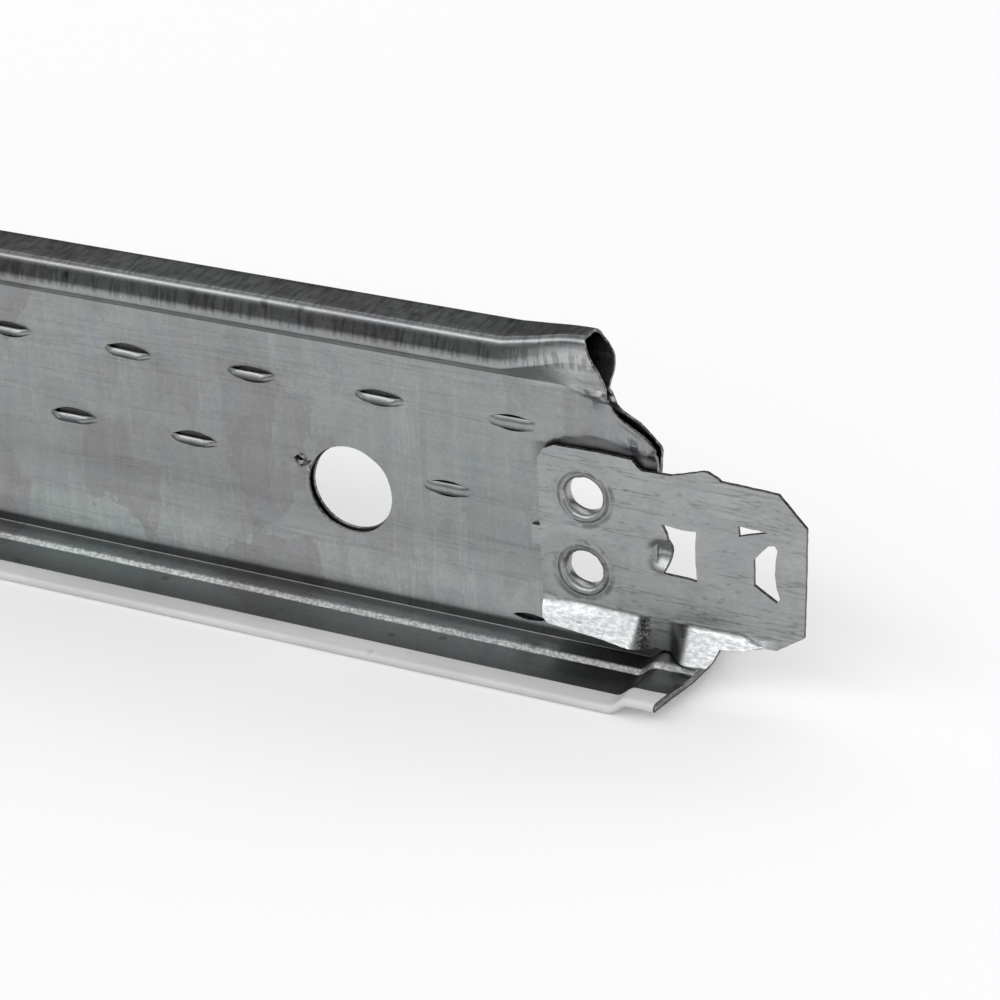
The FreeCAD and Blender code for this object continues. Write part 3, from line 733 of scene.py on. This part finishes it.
# Pits: small round dark spots, in some cells of a fine net only.
pits_group, given, give = effect("Dark_pits", (
    ("Vector", "Vector", None), ("Scale", "Float", 900.0), ("Share", "Float", 0.2)), ("Pits", "Grain"))
net = add(pits_group, "TexVoronoi", {"Vector": given["Vector"], "Scale": given["Scale"]}, feature="F1")
spot = ramp(pits_group, net.outputs["Distance"], 0.18, 0.42, 1.0, 0.0, "LINEAR")
chosen = add(pits_group, "SeparateColor", {"Color": net.outputs["Color"]})
picked = sums(pits_group, "LESS_THAN", chosen.outputs[1], given["Share"])
grain = add(pits_group, "TexNoise", {
    "Vector": given["Vector"], "Scale": 2600.0, "Detail": 2.0, "Roughness": 0.7})
give("Pits", scaled(pits_group, spot, picked))
give("Grain", grain.outputs["Fac"])


def blended(tree, factor, first, second, kind="MIX"):
    """Two colours mixed by a factor."""
    return add(
        tree, "Mix", {0: factor, 6: first, 7: second}, data_type="RGBA", blend_type=kind).outputs[2]


def shaded(tree, colour, marks_and_painted_light):
    """A colour times a grey value."""
    grey = add(tree, "CombineColor", {"Red": marks_and_painted_light, "Green": marks_and_painted_light, "Blue": marks_and_painted_light}).outputs[0]
    return blended(tree, 1.0, colour, grey, "MULTIPLY")


def finished(tree, shader, colour, roughness, height, depth, metal=1.0):
    """Feed a shader its colour, its roughness and a relief whose depth is in metres."""
    relief = add(tree, "Bump", {"Height": height, "Distance": depth, "Strength": 1.0})
    tree.links.new(colour, shader.inputs["Base Color"])
    tree.links.new(roughness, shader.inputs["Roughness"])
    tree.links.new(relief.outputs[0], shader.inputs["Normal"])
    shader.inputs["Metallic"].default_value = metal


zinc, tree, shader = new_material("Galvanised_zinc")
places = add(tree, "TexCoord", {}).outputs
where = places["Object"]
axes = add(tree, "SeparateXYZ", {"Vector": where}).outputs
out = sums(tree, "ABSOLUTE", axes["Y"])
setback = sums(tree, "SUBTRACT", TIP * MM, sums(tree, "ABSOLUTE", axes["X"]))
spangle = placed(tree, mottle, {
    "Vector": stretched(tree, where, (1.0, 1.0, 0.75)), "Scale": 95.0, "Wander": 0.012})
flakes = placed(tree, mottle, {
    "Vector": stretched(tree, where, (1.3, 1.3, 0.8)), "Scale": 210.0, "Wander": 0.006})
rolled_lines = placed(tree, lines_group, {
    "Vector": stretched(tree, where, (60.0, 1500.0, 1500.0)), "Threshold": 0.50, "Width": 0.05})
rubbed = placed(tree, lines_group, {
    "Vector": stretched(tree, where, (900.0, 900.0, 70.0), (0.0, 0.16, 0.0)),
    "Threshold": 0.52, "Width": 0.04})
pits = placed(tree, pits_group, {"Vector": where, "Scale": 620.0, "Share": 0.05})
tone = sums(tree, "MULTIPLY_ADD", spangle["Tone"], 0.55, scaled(tree, flakes["Tone"], 0.25))
tone = sums(tree, "MULTIPLY_ADD", spangle["Cloud"], 0.5, tone)
warm = blended(tree, ramp(tree, tone, 0.25, 1.0), (0.268, 0.270, 0.268, 1.0), (0.345, 0.356, 0.355, 1.0))
cool = blended(tree, ramp(tree, flakes["Cloud"], 0.52, 0.66, 0.0, 0.45), warm, (0.285, 0.30, 0.345, 1.0))
green = blended(tree, ramp(tree, spangle["Tone"], 0.62, 0.9, 0.0, 0.30), cool, (0.29, 0.345, 0.325, 1.0))
marks_and_painted_light = sums(tree, "MULTIPLY_ADD", rubbed["Streaks"], 0.22, 0.89)
marks_and_painted_light = sums(tree, "MULTIPLY_ADD", rolled_lines["Streaks"], 0.16, sums(tree, "SUBTRACT", marks_and_painted_light, 0.08))
marks_and_painted_light = sums(tree, "MULTIPLY_ADD", pits["Grain"], 0.34, sums(tree, "SUBTRACT", marks_and_painted_light, 0.17))
marks_and_painted_light = sums(tree, "MULTIPLY_ADD", pits["Pits"], -0.40, marks_and_painted_light)
marks_and_painted_light = sums(tree, "MULTIPLY_ADD", rolled_lines["Lines"], -0.14, marks_and_painted_light)
marks_and_painted_light = sums(tree, "MULTIPLY_ADD", rubbed["Lines"], 0.12, marks_and_painted_light)

# Painted shade: the faces between the two layers of the web are darkened, and a layer is dimmed where
# it is pressed in. The flanks of the bulb are crackled.
# Painted shade between the layers: faces near the middle of the web are darkened, down to 0.15, except at
# the crown and the bottom.
clear_of_painted_gap_shade = ramp(tree, out, 0.00012, 0.00020)
clear_of_painted_gap_shade = sums(tree, "MAXIMUM", clear_of_painted_gap_shade, ramp(tree, axes["Z"], 0.0328, 0.0334))
clear_of_painted_gap_shade = sums(tree, "MAXIMUM", clear_of_painted_gap_shade, ramp(tree, axes["Z"], 0.0016, 0.0012))
marks_and_painted_light = scaled(tree, marks_and_painted_light, sums(tree, "MULTIPLY_ADD", clear_of_painted_gap_shade, 0.85, 0.15))
# Painted shade in the pressed-in pocket: faces lying in from the web's flat, below 28 mm, are dimmed by up
# to 45%.
pocket_painted_shade = scaled(tree, ramp(tree, out, 0.00046, 0.00036, 0.0, 0.45), ramp(tree, axes["Z"], 0.0286, 0.0280))
crackle = add(tree, "TexNoise", {
    "Vector": stretched(tree, where, (1900.0, 300.0, 260.0)), "Scale": 1.0, "Detail": 3.0, "Roughness": 0.6})
crackles = ramp(tree, crackle.outputs["Fac"], 0.47, 0.60)
crackled = scaled(tree, crackles, band(tree, axes["Z"], (0.0349, 0.0355), (0.0377, 0.0370)))
marks_and_painted_light = sums(tree, "MULTIPLY_ADD", crackled, -0.34, marks_and_painted_light)
marks_and_painted_light = scaled(tree, marks_and_painted_light, sums(tree, "SUBTRACT", 1.0, pocket_painted_shade))

# Painted shade darkens the wings and the crease at the foot of the web, most of all the wings' outer part,
# and a painted highlight sparkles on their ridge. Heights near the foot are taken below the joggle's lift.
# The foot of the web is painted lighter, as a painted reflection of the wing.
ankle = sums(tree, "MULTIPLY_ADD", ramp(tree, setback, 0.0071, 0.0049), -JOGGLE_LIFT * MM, axes["Z"])
wing = ramp(tree, ankle, 0.0030, 0.0020)
low = ramp(tree, ankle, 0.0125, 0.0042)
# Painted shade below about 2.5 mm, painted light on the lower web, and more painted shade on the outer wing.
foot = sums(tree, "MULTIPLY_ADD", ramp(tree, ankle, 0.0029, 0.0023), -0.75, 1.0)
foot = scaled(tree, foot, sums(tree, "MULTIPLY_ADD", low, 1.25, 1.0))
outer = scaled(tree, ramp(tree, out, 0.0042, 0.0088), wing)
foot = scaled(tree, foot, sums(tree, "MULTIPLY_ADD", outer, -0.45, 1.0))
# Painted highlight along the wings' ridge, flecked by the grain.
ridge_painted_highlight = scaled(tree, band(tree, out, (0.0029, 0.0033), (0.0040, 0.0037)), wing)
sparkle = ramp(tree, pits["Grain"], 0.42, 0.60, 0.15, 0.55)
foot = sums(tree, "MULTIPLY_ADD", ridge_painted_highlight, sparkle, foot)
marks_and_painted_light = scaled(tree, marks_and_painted_light, foot)

# Painted shade darkens the bulb's crown, its flanks and its inside, and painted light brightens its
# underside where it is squeezed. Heights on it are taken below the lift of the squeezed end.
squeeze = ramp(tree, setback, 0.0245, 0.0148)
level = sums(tree, "MULTIPLY_ADD", squeeze, -0.00115, axes["Z"])
# Painted shade on the bulb's flanks, fading out towards the squeezed end.
flank_painted_shade = band(tree, level, (0.0352, 0.0360), (0.0375, 0.0370))
flank_painted_shade = scaled(tree, flank_painted_shade, sums(tree, "SUBTRACT", 1.0, squeeze))
# Painted light on the underside of the squeezed end.
squeezed_underside_painted_light = scaled(tree, band(tree, level, (0.0312, 0.0320), (0.0372, 0.0364)), squeeze)
# Painted shade on the inside of the bulb.
leaning = add(tree, "SeparateXYZ", {"Vector": places["Normal"]}).outputs["Y"]
inner_painted_shade = ramp(tree, scaled(tree, leaning, axes["Y"]), -0.0001, -0.0003)
inner_painted_shade = scaled(tree, inner_painted_shade, ramp(tree, level, 0.0312, 0.0320))
# Painted shade on the crown.
top = sums(tree, "MULTIPLY_ADD", ramp(tree, level, 0.0377, 0.03795), -0.42, 1.0)
top = sums(tree, "MULTIPLY_ADD", flank_painted_shade, -0.50, top)
top = sums(tree, "MULTIPLY_ADD", squeezed_underside_painted_light, 0.75, top)
crackled_top = scaled(tree, crackles, ramp(tree, axes["Z"], 0.0377, 0.03795))
top = sums(tree, "MULTIPLY_ADD", crackled_top, -0.22, top)
top = scaled(tree, top, sums(tree, "MULTIPLY_ADD", inner_painted_shade, -0.85, 1.0))
marks_and_painted_light = scaled(tree, marks_and_painted_light, top)

rough = sums(tree, "MULTIPLY_ADD", spangle["Cloud"], 0.10, 0.25)
rough = sums(tree, "MULTIPLY_ADD", low, 0.30, rough)
rough = sums(tree, "MULTIPLY_ADD", ramp(tree, ankle, 0.0034, 0.0024), -0.30, rough)
rough = sums(tree, "MULTIPLY_ADD", rubbed["Streaks"], 0.08, rough)
rough = sums(tree, "MULTIPLY_ADD", squeezed_underside_painted_light, 0.10, rough)
low_zone = ramp(tree, axes["Z"], 0.0026, 0.0016)
grain_lift = scaled(tree, pits["Grain"], sums(tree, "MULTIPLY_ADD", low_zone, 1.3, 0.35))
height = sums(tree, "MULTIPLY_ADD", rolled_lines["Streaks"], 0.55, grain_lift)
height = sums(tree, "MULTIPLY_ADD", rubbed["Streaks"], 0.25, height)
height = sums(tree, "MULTIPLY_ADD", rubbed["Lines"], -0.5, height)
height = sums(tree, "MULTIPLY_ADD", crackled, 0.8, height)
finished(tree, shader, shaded(tree, green, marks_and_painted_light), rough, height, 0.000011)

# Cut edges: bright and dark grain where the shear broke the steel.
cut_zinc, tree, shader = new_material("Cropped_zinc_edge")
where = add(tree, "TexCoord", {}).outputs["Object"]
burred = placed(tree, pits_group, {"Vector": where, "Scale": 1500.0, "Share": 0.35})
dark = blended(
    tree, ramp(tree, burred["Grain"], 0.38, 0.70), (0.12, 0.12, 0.12, 1.0), (0.42, 0.42, 0.41, 1.0))
rough = ramp(tree, burred["Grain"], 0.2, 0.8, 0.28, 0.55)
finished(tree, shader, dark, rough, burred["Grain"], 0.00003)

strip = sheet_piece("rolled_strip", strip_mesh, SHEET, (zinc, cut_zinc))
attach(strip, "root")
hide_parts("tee_body")


# The cap: a strip of white-painted steel 0.35 mm thick under the flange, hemmed back over both of its
# edges. At each end it is joggled up with the wings and sheared off together with them.
CAP_SHEET = 0.35
HEM_BEND = WING_UP - CAP_SHEET / 2
HEM_ROWS = ((11.0, 0.935), (10.5, 0.95), (10.0, 0.95), (9.6, 0.93), (9.2, 0.90))
FACE_SPLITS = 10


def cap_rows():
    """The middle of the cap's sheet from under the web, round the wing's edge and back over it."""
    flat = [Vector((WING_EDGE * k / FACE_SPLITS, CAP_SHEET / 2)) for k in range(FACE_SPLITS + 1)]
    fold = [
        Vector((WING_EDGE + HEM_BEND * math.sin(turn), WING_UP - HEM_BEND * math.cos(turn)))
        for turn in (math.pi * k / 8 for k in range(1, 9))]
    return flat + fold + [Vector(place) for place in HEM_ROWS]


hem_rows = cap_rows()
cap_mesh = bmesh.new()
cap_grid = {}
for i, x in enumerate(stations):
    setback = TIP - abs(x)
    for j in range(2 * len(hem_rows) - 1):
        side = -1 if j < len(hem_rows) else 1
        out, up = hem_rows[abs(j - len(hem_rows) + 1)]
        end = along(WING_END, out) - 0.08 + 0.09 * ripple(out * 1.1, side * 3.0, up, 31 if x > 0 else 32)
        place = x
        if setback < END_ZONE:
            place = math.copysign(TIP - (end + setback * (END_ZONE - end) / END_ZONE), x)
        new_setback = TIP - abs(place)
        lift = JOGGLE_LIFT * eased(new_setback, 7.15, 4.95)
        lift += 0.07 * ripple(place / 2.4, out / 2.0, side, 14) * eased(new_setback, 6.0, 3.0)
        sag = 0.035 * ripple(place / 23, out / 6, side, 15) * eased(out, 10.2, 9.4) * eased(up, 0.8, 0.9)
        cap_grid[i, j] = cap_mesh.verts.new((place, side * out, up + lift + sag))
for (i, j) in cap_grid:
    if (i + 1, j + 1) in cap_grid:
        corners = ((i, j), (i + 1, j), (i + 1, j + 1), (i, j + 1))
        cap_mesh.faces.new([cap_grid[key] for key in corners])

paint, tree, shader = new_material("White_coil_paint")
where = add(tree, "TexCoord", {}).outputs["Object"]
smudge = placed(tree, mottle, {
    "Vector": stretched(tree, where, (0.25, 1.0, 1.0)), "Scale": 60.0, "Wander": 0.01})
wiped = placed(tree, lines_group, {
    "Vector": stretched(tree, where, (40.0, 900.0, 900.0)), "Threshold": 0.56, "Width": 0.03})
dust = placed(tree, pits_group, {"Vector": where, "Scale": 700.0, "Share": 0.04})
tint = blended(
    tree, ramp(tree, smudge["Cloud"], 0.35, 0.7), (0.60, 0.60, 0.59, 1.0), (0.675, 0.675, 0.67, 1.0))
tint = blended(tree, scaled(tree, wiped["Lines"], 0.25), tint, (0.48, 0.48, 0.47, 1.0))
tint = blended(tree, scaled(tree, dust["Pits"], 0.35), tint, (0.30, 0.30, 0.29, 1.0))
rough = ramp(tree, smudge["Cloud"], 0.3, 0.7, 0.30, 0.42)
finished(tree, shader, tint, rough, dust["Grain"], 0.000004, 0.0)

sheared, tree, shader = new_material("Sheared_dark_edge")
where = add(tree, "TexCoord", {}).outputs["Object"]
torn = placed(tree, pits_group, {"Vector": where, "Scale": 1500.0, "Share": 0.5})
tint = blended(
    tree, ramp(tree, torn["Grain"], 0.35, 0.7), (0.035, 0.035, 0.034, 1.0), (0.20, 0.20, 0.19, 1.0))
rough = ramp(tree, torn["Grain"], 0.2, 0.8, 0.35, 0.6)
finished(tree, shader, tint, rough, torn["Grain"], 0.00004)

cap = sheet_piece("white_hemmed_cap", cap_mesh, CAP_SHEET, (paint, sheared))
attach(cap, "root")
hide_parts("flange_cap")


# The end clips: one stamping of 0.5 mm steel on each end of the web, with its lower edge bent out, a
# latch window, and two collars torn through the web and flared behind it, which hold the clip.
CLIP_SHEET = 0.5
CLIP_OUT = 0.8
EYELET_EDGE = 3.1
EYELET_STEPS = 44
DIMPLE = (5.4, 14.5)
CLIP_EDGE = (
    (19.75, 6.7), (19.6, 5.6), (19.3, 4.6), (18.5, 4.15), (12.0, 3.75), (8.6, 3.35), (7.5, 3.15),
    (5.0, 3.0), (3.0, 2.95), (1.6, 2.95), (-0.9, 3.15), (-1.5, 3.9), (-1.95, 5.1), (-4.6, 5.35),
    (-6.7, 5.75), (-8.1, 5.8),
    (-11.2, 8.0), (-11.25, 14.0), (-11.2, 21.1), (-7.9, 24.55), (-4.0, 24.7), (-1.3, 24.8), (-0.9, 25.1),
    (0.3, 25.65), (0.8, 25.6), (4.4, 24.45), (7.9, 24.35), (8.4, 24.7), (9.1, 25.45), (13.5, 25.6),
    (18.3, 25.5), (19.6, 24.9), (20.35, 23.6), (20.2, 19.5), (20.1, 15.35), (21.1, 15.35), (21.15, 13.1),
    (20.0, 12.95), (19.85, 9.0))
WINDOW_EDGE = (
    (5.5, 18.45), (4.5, 18.35), (3.1, 18.2), (1.45, 18.3), (1.55, 16.4), (1.5, 14.6), (1.25, 12.3),
    (3.2, 12.35), (5.25, 12.4), (4.95, 13.4), (4.75, 14.6), (4.7, 15.8), (4.9, 17.2))
PIP_EDGE = ((-3.4, 20.0), (-6.85, 19.85), (-3.5, 18.75))
CRESCENT_EDGE = (
    (-5.25, 16.3), (-6.9, 18.3), (-7.6, 18.45), (-7.95, 18.0), (-7.75, 16.6), (-7.7, 15.0), (-7.95, 13.4),
    (-8.35, 12.2), (-7.95, 11.6), (-6.8, 12.3), (-5.35, 13.2))


def stepped(corners, longest, wobble):
    """A closed outline with its long sides divided, and moved a little off its straight lines."""
    loop = []
    for (ax, ay), (bx, by) in zip(corners, corners[1:] + corners[:1]):
        parts = max(1, round(math.hypot(bx - ax, by - ay) / longest))
        for part in range(parts):
            share = part / parts
            s, up = ax + (bx - ax) * share, ay + (by - ay) * share
            off_s = wobble * ripple(s * 1.7, up * 1.7, 0.5, 51)
            off_up = wobble * ripple(s * 1.7, up * 1.7, 3.5, 52)
            loop.append((s + off_s, up + off_up))
    return loop


def clip_relief(s, up):
    """How far the clip's sheet stands out from its flat plane, away from the web.

    Its lower edge is bent out, behind and ahead of a flat stretch in the middle. The dent lies beside
    the window, and the sheet is drawn in round the eyelets.
    """
    depth = max(0.0, 7.05 - 0.02 * s - 0.5 * max(0.0, -4.0 - s) - up)
    tail = eased(s, 6.4, 8.7) if s > 5.6 else eased(s, 4.7, 1.6)
    bend = 0.66 * depth * eased(depth, 0.0, 0.5) * tail
    radius = math.hypot((s - DIMPLE[0]) / 2.6, (up - DIMPLE[1]) / 2.4)
    dent = -1.3 * eased(radius, 1.0, 0.1) * eased(up, 17.0, 16.2)
    pull = 0.0
    for centre in EYELET_HEIGHTS:
        reach = math.hypot(s - EYELET_SETBACK, up - centre)
        pull -= 0.16 * eased(reach, 5.2, 3.4)
    wave = 0.05 * ripple(s / 8, up / 8, 0.0, 53) + 0.012 * ripple(s / 2.3, up / 2.3, 0.0, 54)
    sill = 0.10 * eased(math.hypot(s - 1.0, up - 12.4), 1.6, 0.2)
    return bend + dent + pull + wave + sill


def clip_place(s, up, out=0.0):
    """A place of the right-hand clip, at a setback and a height on its sheet, or standing out from it."""
    return Vector((TIP - s, -(CLIP_OUT + clip_relief(s, up) + out), up))


def dense_points():
    """Points spread over the clip's plate in rows, each moved a little."""
    points = []
    for row in range(48):
        for column in range(66):
            s = -11.0 + 0.49 * (column + 0.5 * (row % 2))
            up = 3.1 + 0.47 * row
            points.append((s + 0.06 * ripple(s, up, 0, 55), up + 0.06 * ripple(s, up, 4, 56)))
    return points


def collar(mesh, rim, centre_up, seed):
    """The torn collar of an eyelet: a raised ragged lip, a tube through the web and a flare behind it."""
    rings = (
        (3.05, 0.00, 0.02), (2.95, 0.10, 0.08), (2.80, 0.09, 0.10), (2.62, 0.02, 0.10), (2.50, -0.15, 0.10),
        (2.44, -0.5, 0.05), (2.42, -1.0, 0.05), (2.46, -1.35, 0.05), (2.66, -1.62, 0.06), (3.0, -1.72, 0.04),
        (3.35, -1.74, 0.0))
    steps = len(rim)
    before = rim
    for radius, out, rough in rings:
        loop = []
        for step in range(steps):
            turn = 2 * math.pi * step / steps
            torn = ripple(math.cos(turn) * 2.2, math.sin(turn) * 2.2, out, seed)
            fine = ripple(math.cos(turn) * 6.0, math.sin(turn) * 6.0, out * 3, seed + 1)
            reach = radius + rough * (0.9 * torn + 0.7 * fine)
            s = EYELET_SETBACK + reach * math.cos(turn)
            up = centre_up + reach * math.sin(turn)
            loop.append(mesh.verts.new(clip_place(s, up, out + rough * (torn * 1.1 - 0.6 * fine))))
        for step in range(steps):
            follow = (step + 1) % steps
            mesh.faces.new((before[step], before[follow], loop[follow], loop[step]))
        before = loop


def build_clip(name, turned):
    """One end clip, and turned half round about the tee's middle for the other end."""
    mesh = bmesh.new()
    outer = stepped(CLIP_EDGE, 0.45, 0.05)
    loops = [stepped(edge, 0.35, 0.04) for edge in (WINDOW_EDGE, PIP_EDGE, CRESCENT_EDGE)]
    first_eye = len(outer) + sum(len(loop) for loop in loops)
    turns = [2 * math.pi * step / EYELET_STEPS for step in range(EYELET_STEPS)]
    for up in EYELET_HEIGHTS:
        loops.append([
            (EYELET_SETBACK + EYELET_EDGE * math.cos(turn), up + EYELET_EDGE * math.sin(turn))
            for turn in turns])
    borders = outer + sum(loops, [])
    points = []
    for point in dense_points():
        if inside(point, outer) and not any(inside(point, loop) for loop in loops):
            if clear_of(point, borders, 0.24):
                points.append(point)
    found, triangles, origins = meshed(outer, loops, points)
    verts = {}
    source = {}
    for triangle in triangles:
        for k in triangle:
            if k not in verts:
                verts[k] = mesh.verts.new(clip_place(*found[k]))
                for one in origins[k]:
                    source[one] = verts[k]
        mesh.faces.new([verts[k] for k in triangle][::-1])
    for count, up in enumerate(EYELET_HEIGHTS):
        rim = [source[first_eye + EYELET_STEPS * count + k] for k in range(EYELET_STEPS)]
        collar(mesh, rim, up, 61 + 3 * count)
    bmesh.ops.recalc_face_normals(mesh, faces=mesh.faces)
    if turned:
        bmesh.ops.rotate(mesh, matrix=Matrix.Rotation(math.pi, 3, "Z"), verts=mesh.verts)
    return sheet_piece(name, mesh, CLIP_SHEET, (stamped, sheared), 42.0)


stamped, tree, shader = new_material("Stamped_clip_steel")
where = add(tree, "TexCoord", {}).outputs["Object"]
axes = add(tree, "SeparateXYZ", {"Vector": where}).outputs
haze = placed(tree, mottle, {"Vector": where, "Scale": 160.0, "Wander": 0.008})
drawn = placed(tree, lines_group, {
    "Vector": stretched(tree, where, (150.0, 2000.0, 2000.0), (0.0, 0.03, 0.0)),
    "Threshold": 0.50, "Width": 0.05})
pits = placed(tree, pits_group, {
    "Vector": stretched(tree, where, (0.5, 1.0, 1.0)), "Scale": 1700.0, "Share": 0.10})
tint = blended(
    tree, ramp(tree, haze["Cloud"], 0.3, 0.7), (0.335, 0.345, 0.35, 1.0), (0.405, 0.415, 0.42, 1.0))
marks_and_painted_light = sums(tree, "MULTIPLY_ADD", drawn["Streaks"], 0.20, 0.88)
marks_and_painted_light = sums(tree, "MULTIPLY_ADD", pits["Grain"], 0.34, sums(tree, "SUBTRACT", marks_and_painted_light, 0.13))
marks_and_painted_light = sums(tree, "MULTIPLY_ADD", drawn["Lines"], -0.34, marks_and_painted_light)
marks_and_painted_light = sums(tree, "MULTIPLY_ADD", pits["Pits"], -0.22, marks_and_painted_light)
place = sums(tree, "SUBTRACT", TIP * MM, sums(tree, "ABSOLUTE", axes["X"]))

# Round each eyelet, painted shade in the drawn-in hollow: a dark broken ring and a fainter patchy band.
for up in EYELET_HEIGHTS:
    across = sums(tree, "SUBTRACT", place, EYELET_SETBACK * MM)
    over = sums(tree, "SUBTRACT", axes["Z"], up * MM)
    reach = add(tree, "CombineXYZ", {"X": across, "Y": over}).outputs[0]
    reach = add(tree, "VectorMath", {0: reach}, operation="LENGTH").outputs["Value"]
    # Painted shade: a broken dark ring round the collar.
    rim = band(tree, reach, (0.0026, 0.0029), (0.0033, 0.0030))
    rim = scaled(tree, rim, ramp(tree, haze["Cloud"], 0.36, 0.60, 0.15, 0.60))
    # Painted shade: a fainter patchy band just outside the ring.
    dish_painted_shade = band(tree, reach, (0.0031, 0.0034), (0.0040, 0.0036))
    dish_painted_shade = scaled(tree, dish_painted_shade, ramp(tree, haze["Cloud"], 0.48, 0.62, 0.0, 0.50))
    marks_and_painted_light = scaled(tree, marks_and_painted_light, sums(tree, "SUBTRACT", 1.0, sums(tree, "MAXIMUM", rim, dish_painted_shade)))

# The ledges, bent out of the lower edge, carry a painted highlight flecked by the grain, and their turns at
# the middle carry painted shade.
ledge = ramp(tree, axes["Z"], 0.0070, 0.0066)
bent_part = sums(tree, "MAXIMUM", ramp(tree, place, 0.0076, 0.0084), ramp(tree, place, 0.0026, 0.0016))
bent_part = scaled(tree, bent_part, ramp(tree, place, -0.0085, -0.0060))
# Painted highlight on the bent-out ledges, flecked by the grain.
ledge_painted_highlight = ramp(tree, pits["Grain"], 0.40, 0.60, 0.38, 0.85)
ledge_painted_highlight = scaled(tree, ledge_painted_highlight, scaled(tree, ledge, bent_part))
# Painted shade where the sheet turns from the ledges back to the flat middle.
turn_left = band(tree, place, (0.0064, 0.0070), (0.0084, 0.0077))
turn_right = band(tree, place, (0.0050, 0.0040), (0.0017, 0.0026))
shadow = scaled(tree, turn_left, ramp(tree, pits["Grain"], 0.44, 0.56, 0.35, 0.85))
shadow = scaled(tree, ledge, sums(tree, "MULTIPLY_ADD", turn_right, 0.72, shadow))
marks_and_painted_light = sums(tree, "ADD", marks_and_painted_light, ledge_painted_highlight)
marks_and_painted_light = scaled(tree, marks_and_painted_light, sums(tree, "SUBTRACT", 1.0, shadow))
rough = ramp(tree, haze["Cloud"], 0.3, 0.7, 0.30, 0.40)
height = sums(tree, "MULTIPLY_ADD", drawn["Streaks"], 0.5, pits["Grain"])
height = sums(tree, "MULTIPLY_ADD", pits["Pits"], -0.8, height)
finished(tree, shader, shaded(tree, tint, marks_and_painted_light), rough, height, 0.000012)

for end in ("right", "left"):
    clip = build_clip("stab_in_clip_" + end, end == "left")
    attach(clip, "root")
    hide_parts("end_clip_" + end)

low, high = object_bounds()
